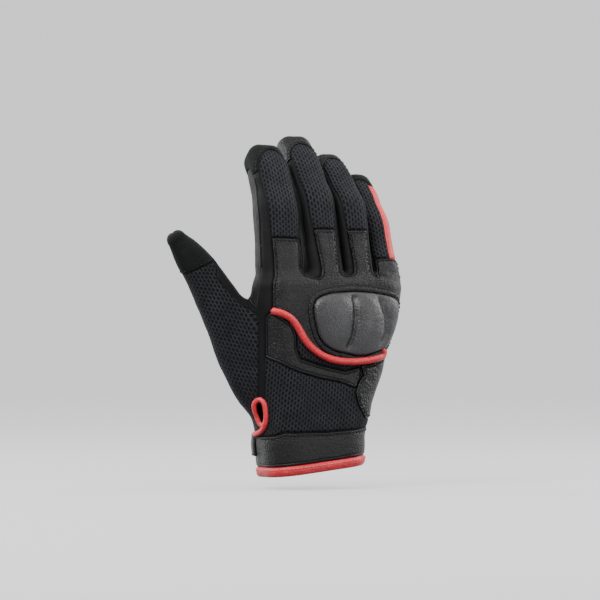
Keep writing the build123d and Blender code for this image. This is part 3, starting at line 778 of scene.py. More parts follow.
def leather(name, dark, light, rough=0.5, grain=1100.0, depth=0.00022, edge=1.0, sheen=0.0, spec=0.5, crease=0.3):
    """Grained leather; seams carry a pressed groove darkened with painted shade, and the grain is coloured lighter on
    its raised pebbles and swells, a painted highlight, and darker in the hollows between them, painted shade.
    """
    k = Net(name)
    rest, dist = k.attr("rest").outputs["Vector"], k.attr("seam").outputs["Fac"]
    cells = k.vor(rest, grain, "SMOOTH_F1")
    fine = k.noise(rest, grain * 1.9, 2)
    broad = k.noise(rest, 95, 4, 0.6)
    h = k.math("ADD", k.math("MULTIPLY", cells, -0.9), k.math("MULTIPLY", fine, 0.45))
    h = k.math("ADD", h, k.math("MULTIPLY", broad, crease * 6))
    groove = k.rng(k.math("ABSOLUTE", k.math("SUBTRACT", dist, 2.0)), 0.0, 0.75, 1.0, 0.0)
    lip = k.rng(dist, 0.0, 0.8, 1.0, 0.0)
    h = k.math("SUBTRACT", h, k.math("MULTIPLY", groove, 1.6 * edge))
    h = k.math("SUBTRACT", h, k.math("MULTIPLY", lip, 2.2 * edge))
    k.bump(h, depth)
    # painted highlight and painted shade: the colour follows the same noises as the bump, lighter on raised pebbles and
    # swells, darker in the hollows between them
    f = k.math("ADD", k.math("MULTIPLY", broad, 0.6), k.math("MULTIPLY", cells, -0.5))
    col = k.ramp(f, [(0.0, dark), (0.45, light)])
    # painted shade: the pressed groove and the sunken seam edge are darkened towards a fraction of the dark tone
    col = k.mixc(k.math("MULTIPLY", k.math("ADD", groove, lip, clamp=True), 0.55 * edge), col, tuple(0.45 * v for v in dark))
    k.l(col, k.b.inputs["Base Color"])
    k.l(k.rng(broad, 0.3, 0.7, rough - 0.06, rough + 0.08), k.b.inputs["Roughness"])
    k.set(Specular_IOR_Level=spec, Sheen_Weight=sheen, Sheen_Roughness=0.5)
    return k.m


def airmesh(name, base, lit, hole, pitch=2.1):
    """Spacer mesh: staggered upright oval holes in a fine knit, coloured near-black, partly the dark layer beneath and
    partly painted shade; the sunken seam edge carries painted shade too.
    """
    k = Net(name)
    w = k.attr("weave").outputs["Vector"]
    sep = k.n("ShaderNodeSeparateXYZ")
    k.l(w, sep.inputs[0])
    U, Vv = sep.outputs[0], sep.outputs[1]
    rest = k.attr("rest").outputs["Vector"]
    wob = k.math("MULTIPLY", k.math("SUBTRACT", k.noise(rest, 260, 2), 0.5), 0.55)
    col_i = k.math("DIVIDE", k.math("ADD", U, wob), pitch)
    par = k.math("MULTIPLY", k.math("FLOORED_MODULO", k.math("FLOOR", col_i), 2.0), 0.5)
    fx = k.math("SUBTRACT", k.math("FRACT", col_i), 0.5)
    fy = k.math("SUBTRACT", k.math("FRACT", k.math("ADD", k.math("DIVIDE", Vv, pitch * 1.55), par)), 0.5)
    r = k.math("SQRT", k.math("ADD", k.math("POWER", k.math("DIVIDE", fx, 0.30), 2.0), k.math("POWER", k.math("DIVIDE", fy, 0.36), 2.0)))
    inside = k.rng(r, 0.75, 1.25, 1.0, 0.0)
    knit = k.noise(rest, 2600, 2)
    broad = k.noise(rest, 120, 3)
    dist = k.attr("seam").outputs["Fac"]
    lip = k.rng(dist, 0.0, 1.3, 1.0, 0.0)
    h = k.math("SUBTRACT", k.math("MULTIPLY", knit, 0.35), k.math("MULTIPLY", inside, 1.5))
    h = k.math("ADD", h, k.math("MULTIPLY", broad, 0.6))
    h = k.math("SUBTRACT", h, k.math("MULTIPLY", lip, 1.4))
    k.bump(h, 0.0006)
    cloth = k.mixc(broad, base, lit)
    # the holes are coloured near-black: partly the dark layer seen through them, partly painted shade in the hollows
    col = k.mixc(inside, cloth, hole)
    # painted shade: the sunken seam edge is darkened towards the hole colour
    col = k.mixc(k.math("MULTIPLY", lip, 0.6), col, hole)
    k.l(col, k.b.inputs["Base Color"])
    k.l(k.rng(knit, 0.3, 0.7, 0.62, 0.8), k.b.inputs["Roughness"])
    k.set(Specular_IOR_Level=0.10, Sheen_Weight=0.02, Sheen_Roughness=0.45, Sheen_Tint=(0.6, 0.63, 0.68))
    return k.m


def cloth(name, base, lit, rough=0.75, scale=1500.0, sheen=0.4, depth=0.00018, ribs=0.0):
    k = Net(name)
    rest, dist = k.attr("rest").outputs["Vector"], k.attr("seam").outputs["Fac"]
    a, b = k.noise(rest, scale, 3), k.noise(rest, 110, 4)
    h = k.math("ADD", k.math("MULTIPLY", a, 0.7), k.math("MULTIPLY", b, 1.8))
    if ribs:
        w = k.n("ShaderNodeSeparateXYZ")
        k.l(k.attr("weave").outputs["Vector"], w.inputs[0])
        h = k.math("ADD", h, k.math("MULTIPLY", k.math("SINE", k.math("MULTIPLY", w.outputs[0], ribs)), 0.5))
    lip = k.rng(dist, 0.0, 1.1, 1.0, 0.0)
    h = k.math("SUBTRACT", h, k.math("MULTIPLY", lip, 1.5))
    k.bump(h, depth)
    col = k.mixc(b, base, lit)
    # painted shade: the sunken seam edge is darkened towards 0.4 of the base colour
    col = k.mixc(k.math("MULTIPLY", lip, 0.6), col, tuple(0.4 * v for v in base))
    k.l(col, k.b.inputs["Base Color"])
    k.l(k.rng(a, 0.3, 0.7, rough - 0.06, rough + 0.06), k.b.inputs["Roughness"])
    k.set(Specular_IOR_Level=0.10, Sheen_Weight=0.4 * sheen, Sheen_Roughness=0.5)
    return k.m


M = dict(
    leather=leather("black_leather", lin(8, 8, 9), lin(19, 19, 22), 0.37, 900, 0.0005, 1.0, 0.0, 0.18, 0.12),
    palm=leather("palm_leather", lin(9, 9, 10), lin(22, 22, 24), 0.56, 1500, 0.0002, 0.6, 0.0, 0.18),
    suede=leather("touch_suede", lin(12, 15, 14), lin(30, 34, 31), 0.9, 1900, 0.00014, 0.7, 0.05, 0.08),
    palm_suede=leather("palm_suede", lin(18, 18, 19), lin(36, 36, 38), 0.88, 1800, 0.00012, 0.8, 0.1, 0.15),
    grip=leather("grip_leather", lin(5, 5, 6), lin(22, 22, 24), 0.40, 620, 0.0008, 1.0, 0.0, 0.20, 0.3),
    guard=leather("guard_skin", lin(14, 14, 16), lin(27, 27, 31), 0.43, 950, 0.0003, 0.3, 0.0, 0.50, 0.10),
    red=leather("red_leather", lin(184, 20, 32), lin(238, 58, 68), 0.46, 1300, 0.00018, 0.35, 0.05, 0.40),
    mesh=airmesh("air_mesh", lin(12, 12, 14), lin(44, 45, 49), lin(0, 0, 1)),
    fabric=cloth("stretch_fabric", lin(5, 5, 6), lin(13, 13, 15), 0.66, 1700, 0.06),
    cuff=cloth("cuff_fabric", lin(13, 13, 14), lin(28, 28, 30), 0.7, 1300, 0.08, 0.00022),
    foam=cloth("foam", lin(20, 20, 22), lin(34, 34, 36), 0.85, 900, 0.05),
    hook=cloth("hook_loop", lin(12, 12, 13), lin(28, 28, 30), 0.9, 2400, 0.15, 0.0005),
    elastic=cloth("elastic", lin(14, 14, 15), lin(26, 26, 28), 0.8, 1400, 0.08, 0.0003, 4.0),
    lining=cloth("lining", lin(10, 10, 11), lin(20, 20, 22), 0.85, 1500, 0.05),
    thread=cloth("thread", lin(26, 26, 28), lin(48, 48, 52), 0.5, 3200, 0.05, 0.00008),
    red_thread=cloth("red_thread", lin(210, 70, 74), lin(250, 128, 130), 0.5, 3200, 0.05, 0.00008),
    dark=cloth("welt", lin(9, 9, 10), lin(22, 22, 24), 0.5, 1500, 0.05),
)

# ------------------------------------------------------------------ panels
MATOF = {"palm": ("palm", 0.2), "hback": ("mesh", 0.0), "gus": ("mesh", 0.0), "side": ("fabric", 0.05), "band": ("leather", 0.8), "grip": ("grip", 0.8),
         "K": ("leather", 0.9), "cap": ("leather", 0.55), "meshf": ("mesh", 0.0), "red": ("red", 0.5), "tcap": ("suede", 0.5), "tside": ("fabric", 0.15),
         "cuff": ("leather", 0.55), "hem": ("red", 0.95)}
JOINTS = {}
for F, (s0, s1) in zip(FINGERS, ((34, 50), (40, 56), (36, 52), (30, 46))):
    a = F.p + (F.at(10.0) - F.at(0.0)) / 10 * 0
    d = (F.at(10.0) - F.at(0.0)) / np.linalg.norm(F.at(10.0) - F.at(0.0))
    JOINTS[(F.name, 1)] = ("hand", F.name + "_base", F.p + d * 1.5, F.p + d * 17.0)
    JOINTS[(F.name, 2)] = (F.name + "_base", F.name + "_tip", F.at(float(s0)), F.at(float(s1)))
JOINTS["root"] = ("hand", "strap", np.array([-35.2, 9.5, 16.0]), np.array([-27.0, 20.5, 16.0]))
JOINTS[("thumb", 1)] = ("hand", "thumb_base", TP + TD * 1.5, TP + TD * 22.0)
JOINTS[("thumb", 2)] = ("thumb_base", "thumb_tip", TP + TD * 24.0, TP + TD * 40.0)
FN = [F.name for F in FINGERS] + ["thumb"]


def follow(ob, body):
    """body is a body's name, to which the piece is attached, or a key of JOINTS, for which the piece only has its
    transform baked and is attached to nothing.
    """
    if isinstance(body, str) and body not in JOINTS:
        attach(ob, body)
    else:
        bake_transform(ob)


def make(name, verts, faces, material, body, rest=None, seam=None, weave=None, normals=None, replaces=(), smooth=True, base=None):
    me = bpy.data.meshes.new(name)
    verts = np.asarray(verts, float)
    me.from_pydata((verts * 0.001).tolist(), [], [list(map(int, f)) for f in faces])
    me.validate()
    me.update()
    n = len(me.vertices)
    at = me.attributes.new("rest", "FLOAT_VECTOR", "POINT")
    at.data.foreach_set("vector", ((verts if rest is None else rest) * 0.001).astype(np.float32).ravel())
    at = me.attributes.new("seam", "FLOAT", "POINT")
    at.data.foreach_set("value", (np.full(n, 9.0) if seam is None else seam).astype(np.float32))
    if weave is not None:
        at = me.attributes.new("weave", "FLOAT_VECTOR", "POINT")
        at.data.foreach_set("vector", weave.astype(np.float32).ravel())
    me.polygons.foreach_set("use_smooth", [smooth] * len(me.polygons))
    if normals is not None:
        me.normals_split_custom_set_from_vertices(normals.tolist())
    me.materials.append(M[material])
    ob = bpy.data.objects.new(name, me)
    bpy.context.scene.collection.objects.link(ob)
    follow(ob, body)
    if replaces:
        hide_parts(*replaces)
    return ob


def tube(points, r, n=10, closed=False, flat=1.0, normal=None):
    """A tube along points; with normals, its section is an oval lying on the surface."""
    P = np.array(points, float)
    m = len(P)
    tan = np.roll(P, -1, 0) - np.roll(P, 1, 0) if closed else np.gradient(P, axis=0)
    tan /= np.maximum(np.linalg.norm(tan, axis=1), 1e-9)[:, None]
    N = np.array(normal, float) if normal is not None else np.tile([0.0, -1.0, 0.0], (m, 1))
    N = N - tan * (N * tan).sum(1)[:, None]
    N /= np.maximum(np.linalg.norm(N, axis=1), 1e-9)[:, None]
    B = np.cross(tan, N)
    r = np.broadcast_to(np.asarray(r, float), (m,))
    ang = np.arange(n) * 2 * math.pi / n
    ring = P[:, None] + r[:, None, None] * (np.cos(ang)[None, :, None] * B[:, None] + flat * np.sin(ang)[None, :, None] * N[:, None])
    verts = ring.reshape(-1, 3)
    faces = []
    for i in range(m if closed else m - 1):
        j = (i + 1) % m
        for k in range(n):
            k2 = (k + 1) % n
            faces.append((i * n + k, i * n + k2, j * n + k2, j * n + k))
    if not closed:
        verts = np.vstack([verts, P[0] - tan[0] * r[0] * 0.6, P[-1] + tan[-1] * r[-1] * 0.6])
        a, b = m * n, m * n + 1
        for k in range(n):
            faces.append((k, a, (k + 1) % n))
            faces.append(((m - 1) * n + k, (m - 1) * n + (k + 1) % n, b))
    return verts, [f[::-1] for f in faces]


BV = BVHTree.FromPolygons((V).tolist(), T.tolist())
BVF = BVHTree.FromPolygons((V).tolist(), TFULL.tolist())


def drop(p, lift=0.0, ray=None):
    """The nearest point of the skin to p, or where a ray meets it, and its normal."""
    if ray is not None:
        loc, nor, _, _ = BV.ray_cast(Vector(p), Vector(ray))
        if loc is None:
            loc, nor, _, _ = BV.find_nearest(Vector(p))
    else:
        loc, nor, _, _ = BV.find_nearest(Vector(p))
    return np.array(loc) + np.array(nor) * lift, np.array(nor)


VN = np.zeros_like(V)
fnv = np.cross(V[T[:, 1]] - V[T[:, 0]], V[T[:, 2]] - V[T[:, 0]])
for i in range(3):
    np.add.at(VN, T[:, i], fnv)
VN /= np.maximum(np.linalg.norm(VN, axis=1), 1e-12)[:, None]

# panels as the eye sees them: joints don't interrupt them, seams do
panel = np.zeros(len(T), int)
PN = {}
for i in range(len(T)):
    pass
grp = lab.copy()
edges = np.sort(np.vstack([T[:, [0, 1]], T[:, [1, 2]], T[:, [2, 0]]]), axis=1)
eown = np.tile(np.arange(len(T)), 3)
order = np.lexsort((edges[:, 1], edges[:, 0]))
es, eo = edges[order], eown[order]
same = np.all(es[1:] == es[:-1], axis=1)
p1, p2 = eo[:-1][same], eo[1:][same]
ed = es[:-1][same]
# vertices on a seam: an edge between two labels, or an open edge
seam_e = ed[lab[p1] != lab[p2]]
SEAMS = [(a, b, lab[i], lab[j]) for (a, b), i, j in zip(seam_e, p1[lab[p1] != lab[p2]], p2[lab[p1] != lab[p2]])]
uniq, cnt = np.unique(es, axis=0, return_counts=True)
open_e = uniq[cnt == 1]
seam_v = {}
for l in range(len(LAB)):
    m = (lab[p1] != lab[p2]) & ((lab[p1] == l) | (lab[p2] == l))
    vs = np.unique(ed[m].ravel())
    mine = np.unique(T[lab == l].ravel())
    ov = np.intersect1d(np.unique(open_e.ravel()), mine)
    seam_v[l] = np.unique(np.r_[vs, ov])
OUT = {}
for l, name in enumerate(LAB):
    if name not in MATOF:
        continue
    vs = np.unique(T[lab == l].ravel())
    if not len(vs):
        continue
    kd = kdtree.KDTree(len(seam_v[l]))
    for i in seam_v[l]:
        kd.insert(Vector(V[i]), int(i))
    kd.balance()
    d = np.array([kd.find(Vector(V[i]))[2] for i in vs])
    h = MATOF[name][1]
    disp = h * step01(d / 1.7) - 0.32 * (1 - step01(d / 1.0)) - 0.10 * np.exp(-((d - 2.1) / 0.55) ** 2) * (h > 0.3)
    pos = V[vs] + VN[vs] * disp[:, None]
    loc = np.full(len(V), -1)
    loc[vs] = np.arange(len(vs))
    t = loc[T[lab == l]]
    nn = np.zeros_like(pos)
    f = np.cross(pos[t[:, 1]] - pos[t[:, 0]], pos[t[:, 2]] - pos[t[:, 0]])
    for i in range(3):
        np.add.at(nn, t[:, i], f)
    nn /= np.maximum(np.linalg.norm(nn, axis=1), 1e-12)[:, None]
    OUT[name] = dict(loc=loc, pos=pos, nrm=nn, d=d)
log("panels")

NODES = {
    ("palm", 0): ("palm_leather",), ("hback", 0): ("back_mesh_panel",), ("K", 0): ("knuckle_leather_panel",), ("band", 0): ("back_leather_band",),
    ("grip", 0): ("side_grip_patch",), ("gus", 0): ("thumb_gusset_mesh",), ("cuff", 0): ("cuff_band",), ("hem", 0): ("cuff_hem_piping",),
}
for n in ("index", "middle", "ring", "little"):
    NODES[("K", n, 1)] = (n + "_knuckle_tab",)
    NODES[("palm", n, 1)] = (n + "_base_palm",)
    NODES[("side", n, 1)] = (n + "_base_fourchettes",)
    NODES[("meshf", n, 1)] = (n + "_lower_mesh",)
    NODES[("cap", n, 2)] = (n + "_tip_cap",)
    NODES[("meshf", n, 2)] = (n + "_back_mesh",)
    NODES[("palm", n, 2)] = (n + "_tip_palm",)
    NODES[("side", n, 2)] = (n + ("_tip_fourchette" if n == "little" else "_tip_fourchettes"),)
NODES[("red", "little", 2)] = ("little_red_panel",)
NODES[("gus", "thumb", 1)] = ("thumb_back_mesh",)
NODES[("palm", "thumb", 1)] = ("thumb_base_palm",)
NODES[("tside", "thumb", 1)] = ("thumb_side_wall",)
NODES[("tcap", "thumb", 2)] = ("thumb_tip_cap",)
NODES[("palm", "thumb", 2)] = ("thumb_tip_palm",)
KNOWN = set(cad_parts)
TITLE = {"hback": "back_mesh", "gus": "gusset_mesh", "side": "side_fabric", "band": "back_band", "grip": "grip_patch", "K": "knuckle_leather", "cap": "tip_cap",
         "meshf": "back_mesh", "red": "red_panel", "tcap": "tip_cap", "tside": "side_wall", "cuff": "cuff", "hem": "hem", "palm": "palm"}
INNER = 1.3
done = set()
made = {}
for name in MATOF:
    if name not in OUT:
        continue
    l = LAB.index(name)
    o = OUT[name]
    for z in (0, 1, 2):
        for f in (range(5) if z else (0,)):
            sel = (lab == l) & (zone == z) & ((fid == f) if z else True)
            if sel.sum() < 4:
                continue
            t = T[sel]
            # a piece of fewer than four triangles was skipped above and makes no object
            vs = np.unique(t.ravel())
            k = {int(v): i for i, v in enumerate(vs)}
            li = o["loc"][vs]
            P, N, d = o["pos"][li], o["nrm"][li], o["d"][li]
            inn = V[vs] - VN[vs] * INNER
            tt_ = np.vectorize(k.get)(t)
            m = len(vs)
            e = np.vstack([tt_[:, [0, 1]], tt_[:, [1, 2]], tt_[:, [2, 0]]])
            es_ = np.sort(e, axis=1)
            uq, ix, ct = np.unique(es_, axis=0, return_index=True, return_counts=True)
            be = e[ix[ct == 1]]
            faces = np.vstack([tt_, tt_[:, ::-1] + m, np.column_stack([be[:, 1], be[:, 0], be[:, 0] + m]), np.column_stack([be[:, 1], be[:, 0] + m, be[:, 1] + m])])
            verts = np.vstack([P, inn])
            body = "hand" if z == 0 else (FN[f], z)
            key = (name, 0) if z == 0 else (name, FN[f], z)
            rep = tuple(n for n in NODES.get(key, ()) if n in KNOWN)
            matname = MATOF[name][0]
            if name == "cap" and FN[f] in ("index", "little"):
                matname = "suede"
            title = ("hand_" if z == 0 else FN[f] + ("_lower_" if z == 1 else "_upper_")) + TITLE[name]
            wv_ = np.column_stack([A[vs][:, COL["wu"]], A[vs][:, COL["wv"]], np.zeros(m)])
            ob = make(title + "_skin", verts, faces, matname, body, rest=np.vstack([V[vs], inn]), seam=np.r_[d, d],
                      weave=np.vstack([wv_, wv_]), normals=np.vstack([N, -VN[vs]]), replaces=rep)
            made[key] = ob
            done |= set(rep)
log("pieces", len(made), "nodes left", sorted(KNOWN - done))

# ------------------------------------------------------------------ raised parts
VIEW = np.array([0.4226, 0.9063, 0.0])          # the way the picture looks


def on_view(uu, zz, lift=0.0):
    """The skin's point seen at (u, z) in the picture's plane."""
    p = np.array([EX * uu, EY * uu, zz]) - VIEW * 150
    loc, nor, _, _ = BVF.ray_cast(Vector(p), Vector(VIEW))
    if loc is None:
        # just outside the outline: the nearest point of the skin
        loc, nor, _, _ = BVF.find_nearest(Vector(p + VIEW * 150))
    return np.array(loc) + np.array(nor) * lift, np.array(nor)


def path_view(pts, step=1.0, lift=0.0, win=5):
    q = resample(catmull(px(pts), 6), step)
    r = [on_view(a, b, lift) for a, b in q]
    P, N = np.array([a for a, _ in r]), np.array([b for _, b in r])
    return smooth_path(P, win), smooth_path(N, win)


def smooth_path(P, win=5):
    k = np.ones(win) / win
    return np.column_stack([np.convolve(np.pad(P[:, i], win // 2, "edge"), k, "valid") for i in range(P.shape[1])])


def stitches(name, P, N, body, length=2.0, gap=1.0, r=0.26, lift=0.12, material="thread"):
    """A row of short stitches lying along a line on the skin."""
    seg = np.linalg.norm(np.diff(P, axis=0), axis=1)
    cum = np.r_[0, np.cumsum(seg)]
    vs, fs = [], []
    t = 0.6
    while t + length < cum[-1]:
        tt = np.linspace(t, t + length, 5)
        p = np.column_stack([np.interp(tt, cum, P[:, i]) for i in range(3)])
        nn = np.column_stack([np.interp(tt, cum, N[:, i]) for i in range(3)])
        arch = np.array([-0.28, 0.08, 0.14, 0.08, -0.28]) + lift
        a, b = tube(p + nn * arch[:, None], [r * 0.7, r, r, r, r * 0.7], 6, normal=nn)
        off = sum(len(v) for v in vs)
        vs.append(a)
        fs += [[i + off for i in f] for f in b]
        t += length + gap
    if not vs:
        return None
    return make(name, np.vstack(vs), fs, material, body)


def slab_patch(name, grid, closed, edge_r, material, body, thick=1.0, weave=None, replaces=()):
    """A closed plate from a polar or square grid of outer points with normals."""
    P, N, H = grid
    n, m = P.shape[:2]
    outer = P + N * H[..., None]
    inner = P - N * thick
    verts = np.vstack([outer.reshape(-1, 3), inner.reshape(-1, 3)])
    o = n * m
    faces = []
    for i in range(n - 1):
        for j in range(m if closed else m - 1):
            k = (j + 1) % m
            a, b, c_, d_ = i * m + j, i * m + k, (i + 1) * m + k, (i + 1) * m + j
            faces.append((a, b, c_, d_))
            faces.append((o + a, o + d_, o + c_, o + b))
    ring = []
    if closed:
        for j in range(m):
            k = (j + 1) % m
            a, b = (n - 1) * m + j, (n - 1) * m + k
            faces.append((a, b, o + b, o + a))
        # centre fans
        verts = np.vstack([verts, outer[0].mean(0), inner[0].mean(0)])
        c0, c1 = 2 * o, 2 * o + 1
        for j in range(m):
            k = (j + 1) % m
            faces.append((c0, k, j))
            faces.append((c1, o + j, o + k))
    else:
        for j in range(m - 1):
            faces.append((j, o + j, o + j + 1, j + 1))
            faces.append(((n - 1) * m + j, (n - 1) * m + j + 1, o + (n - 1) * m + j + 1, o + (n - 1) * m + j))
        for i in range(n - 1):
            faces.append((i * m, (i + 1) * m, o + (i + 1) * m, o + i * m))
            faces.append((i * m + m - 1, o + i * m + m - 1, o + (i + 1) * m + m - 1, (i + 1) * m + m - 1))
    base = np.vstack([P.reshape(-1, 3), P.reshape(-1, 3)] + ([P[0].mean(0), P[0].mean(0)] if closed else []))
    return make(name, verts, faces, material, body, rest=verts, seam=None, weave=weave, replaces=replaces)


def hand_ring(c, z, off):
    """A point round the hand at z: c runs from the middle of the back, over the right side, to the palm and on."""
    cx, cy, a, b, r = [float(v) for v in hand_rows(np.array([z]))]
    quarter = (a - r) + r * math.pi / 2 + (b - r)
    sgn = 1 if c >= 0 else -1
    k = abs(c)
    flip = k > quarter
    if flip:
        k = 2 * quarter - k
    if k < a - r:
        x, y, nx, ny = k, -b, 0.0, -1.0
    elif k < a - r + r * math.pi / 2:
        t = (k - (a - r)) / r
        nx, ny = math.sin(t), -math.cos(t)
        x, y = a - r + r * nx, -(b - r) + r * ny
    else:
        x, y, nx, ny = a, -(b - r) + (k - (a - r) - r * math.pi / 2), 1.0, 0.0
    if flip:
        y, ny = -y, -ny
    n = np.array([sgn * nx, ny, 0.0])
    return np.array([cx + sgn * x, cy + y, z]) + n * off, n


def on_side(uu, zz, lift=0.0):
    """As on_view, but carried on round the little-finger side where the skin turns away."""
    if uu <= 44.0:
        return on_view(uu, zz, lift)
    p, _ = on_view(44.0, zz)
    cx, cy, a, b, r = [float(v) for v in hand_rows(np.array([zz]))]
    c = float(perim(np.array([p[0] - cx]), np.array([p[1] - cy]), a, b, r)[0]) + (uu - 44.0) * 1.22
    q_, _ = hand_ring(c, zz, 0.0)
    loc, nor, _, _ = BVF.find_nearest(Vector(q_))
    return np.array(loc) + np.array(nor) * lift, np.array(nor)


# knuckle guard: a moulded shell with three domes over the knuckles
GOUT = [(318, 297), (330, 293), (350, 291.5), (365, 292), (376, 293.5), (390, 296.5), (398, 302), (401, 312), (400, 322), (396, 334), (389, 344), (378, 351), (366, 355.5), (355, 356), (345, 353.5),
        (335, 351.5), (325, 346), (318, 337), (314.5, 325), (312.5, 312), (313.5, 303)]
go = resample(catmull(px(GOUT), 8, closed=True), 1.2, closed=True)
gc = go.mean(0) + np.array([0.0, 0.5])
NR = 34
DOMES = [((345 - 311) * 0.65 - 12.5, 96.3, 15.0, 22.5, 6.0), ((372 - 311) * 0.65 - 2.6, 96.0, 11.2, 23.0, 7.0), ((391 - 311) * 0.65 + 0.6, 95.5, 10.5, 20.0, 4.6)]


GROOVES = [px([(351.0, 292), (351.6, 305), (351.8, 320), (349.6, 336), (345.5, 350), (343, 358)]), px([(375.5, 290), (379.0, 303), (382.5, 318), (382.0, 333), (378.0, 346), (374, 356)])]


def guard_height(uu, zz, k):
    """Height over the leather; k runs from the middle, 0, to the rim, 1."""
    h = 1.2 * step01((1 - k) / 0.05) + 8.0 * max(0.0, 1 - k ** 2.2) ** 0.62 * (1 - 0.28 * float(step01((uu - 46) / 14)))
    for line in GROOVES:
        a = np.array(line)[::-1]
        gu = np.interp(zz, a[:, 1], a[:, 0])
        e = uu - gu
        h -= (2.3 * math.exp(-(e / 1.5) ** 2) + 2.5 * math.exp(-(e / 5.5) ** 2)) * float(step01((1 - k) / 0.28)) * (1 - 0.25 * k)
    return h


G = np.zeros((NR, len(go), 3))
GN, GH = np.zeros_like(G), np.zeros(G.shape[:2])
for i in range(NR):
    k = ((i + 0.6) / (NR - 0.4)) ** 0.85
    for j, e in enumerate(go):
        uv = gc + (e - gc) * k
        G[i, j], GN[i, j] = on_side(uv[0], uv[1])
        GH[i, j] = guard_height(uv[0], uv[1], k)
# even out the normals so the shell swells smoothly
for _ in range(10):
    GN[1:-1] = (GN[1:-1] * 2 + GN[:-2] + GN[2:]) / 4
    GN = (GN * 2 + np.roll(GN, 1, 1) + np.roll(GN, -1, 1)) / 4
    GN /= np.linalg.norm(GN, axis=2)[..., None]
GH[-1] = 0.6
guard = slab_patch("knuckle_guard", (G[::1], GN, GH), True, 1.0, "guard", "hand", 0.6, replaces=("knuckle_guard_shell", "knuckle_guard_foam"))
log("guard")
# rim: a folded leather border, stitched twice
rimP, rimN = [], []
for e in go:
    v = e - gc
    v = v / np.linalg.norm(v)
    p, n_ = on_side(*(e + v * 1.5), 0.9)
    rimP.append(p)
    rimN.append(n_)
rimP, rimN = np.array(rimP), np.array(rimN)
for _ in range(4):
    rimN = (rimN * 2 + np.roll(rimN, 1, 0) + np.roll(rimN, -1, 0)) / 4
    rimP = (rimP * 6 + np.roll(rimP, 1, 0) + np.roll(rimP, -1, 0)) / 8
v_, f_ = tube(rimP, 1.9, 12, closed=True, flat=0.62, normal=rimN)
make("knuckle_guard_border", v_, f_, "leather", "hand", replaces=("knuckle_guard_rim",))
cl = lambda a: np.vstack([a, a[:1]])
stitches("guard_stitch_inner", cl(rimP), cl(rimN), "hand", 1.9, 0.9, 0.26, 1.2)
outer2 = []
for e in go:
    v = e - gc
    v = v / np.linalg.norm(v)
    p, n_ = on_side(*(e + v * 4.6), 0.0)
    outer2.append((p, n_))
o2P, o2N = smooth_path(np.array([a for a, _ in outer2])), smooth_path(np.array([b for _, b in outer2]))
half_ = [i for i, e in enumerate(go) if (e[1] > 92 or e[0] < 6) and e[0] < 55]
seq, prev = [], None
run = []
for i in list(range(len(go))) + list(range(len(go))):
    if i in half_:
        run.append(i)
        if len(run) > len(seq):
            seq = list(run)
        if len(run) >= len(go):
            break
    else:
        run = []
seq = seq[:len(go) - 4]
stitches("guard_stitch_outer", o2P[seq], o2N[seq], "hand", 1.9, 0.9, 0.26, 0.95)

# red piping under the guard
rp, rn = path_view([(271.5, 310.5), (278, 312), (285, 314.5), (293, 321), (300, 332), (306, 342), (315, 351), (325, 357), (340, 361), (360, 361.2), (372, 359.3), (383, 355), (390, 349)], 1.0, 1.15, 7)
rr_ = np.full(len(rp), 2.4)
rr_[0], rr_[-1] = 2.0, 1.9
v_, f_ = tube(rp, rr_, 14, normal=rn)
make("red_knuckle_piping", v_, f_, "red", "hand", replaces=("knuckle_piping",))
a_, n_ = path_view([(272, 304), (280, 305), (289, 309), (298, 317), (304, 327)], 1.0, 0.0)
stitches("piping_stitch_upper", a_, n_, "hand", 1.9, 0.9, 0.25, 0.95)
a_, n_ = path_view([(270, 320), (277, 321), (284, 325), (290, 333), (296, 343)], 1.0, 0.0)
stitches("piping_stitch_lower", a_, n_, "hand", 1.9, 0.9, 0.25, 0.85)

# keyhole binding
loop_ = catmull(px([(254.6, 404.5), (257, 400.2), (260.8, 398.8), (264.4, 401.5), (266.5, 408.5), (267.1, 417.5), (265.6, 424.3), (262.4, 424.6), (259.2, 419), (256.6, 412)]), 6, closed=True)
loop_ = resample(loop_, 0.8, closed=True)
r_ = [on_view(a, b, 0.9) for a, b in loop_]
kp, kn = np.array([a for a, _ in r_]), np.array([b for _, b in r_])
for _ in range(3):
    kp = (kp * 2 + np.roll(kp, 1, 0) + np.roll(kp, -1, 0)) / 4
    kn = (kn * 2 + np.roll(kn, 1, 0) + np.roll(kn, -1, 0)) / 4
v1, f1 = tube(kp, 1.75, 12, closed=True, flat=0.85, normal=kn)
tp_, tn_ = path_view([(266.6, 420), (265.8, 425.5), (262.6, 430.6), (257.6, 433.4), (253.5, 434.6)], 0.8, 0.9, 5)
v2, f2 = tube(tp_, 1.85, 12, flat=0.85, normal=tn_)
make("keyhole_binding", np.vstack([v1, v2]), list(f1) + [[i + len(v1) for i in f] for f in f2], "red", "hand", replaces=("slit_piping",))

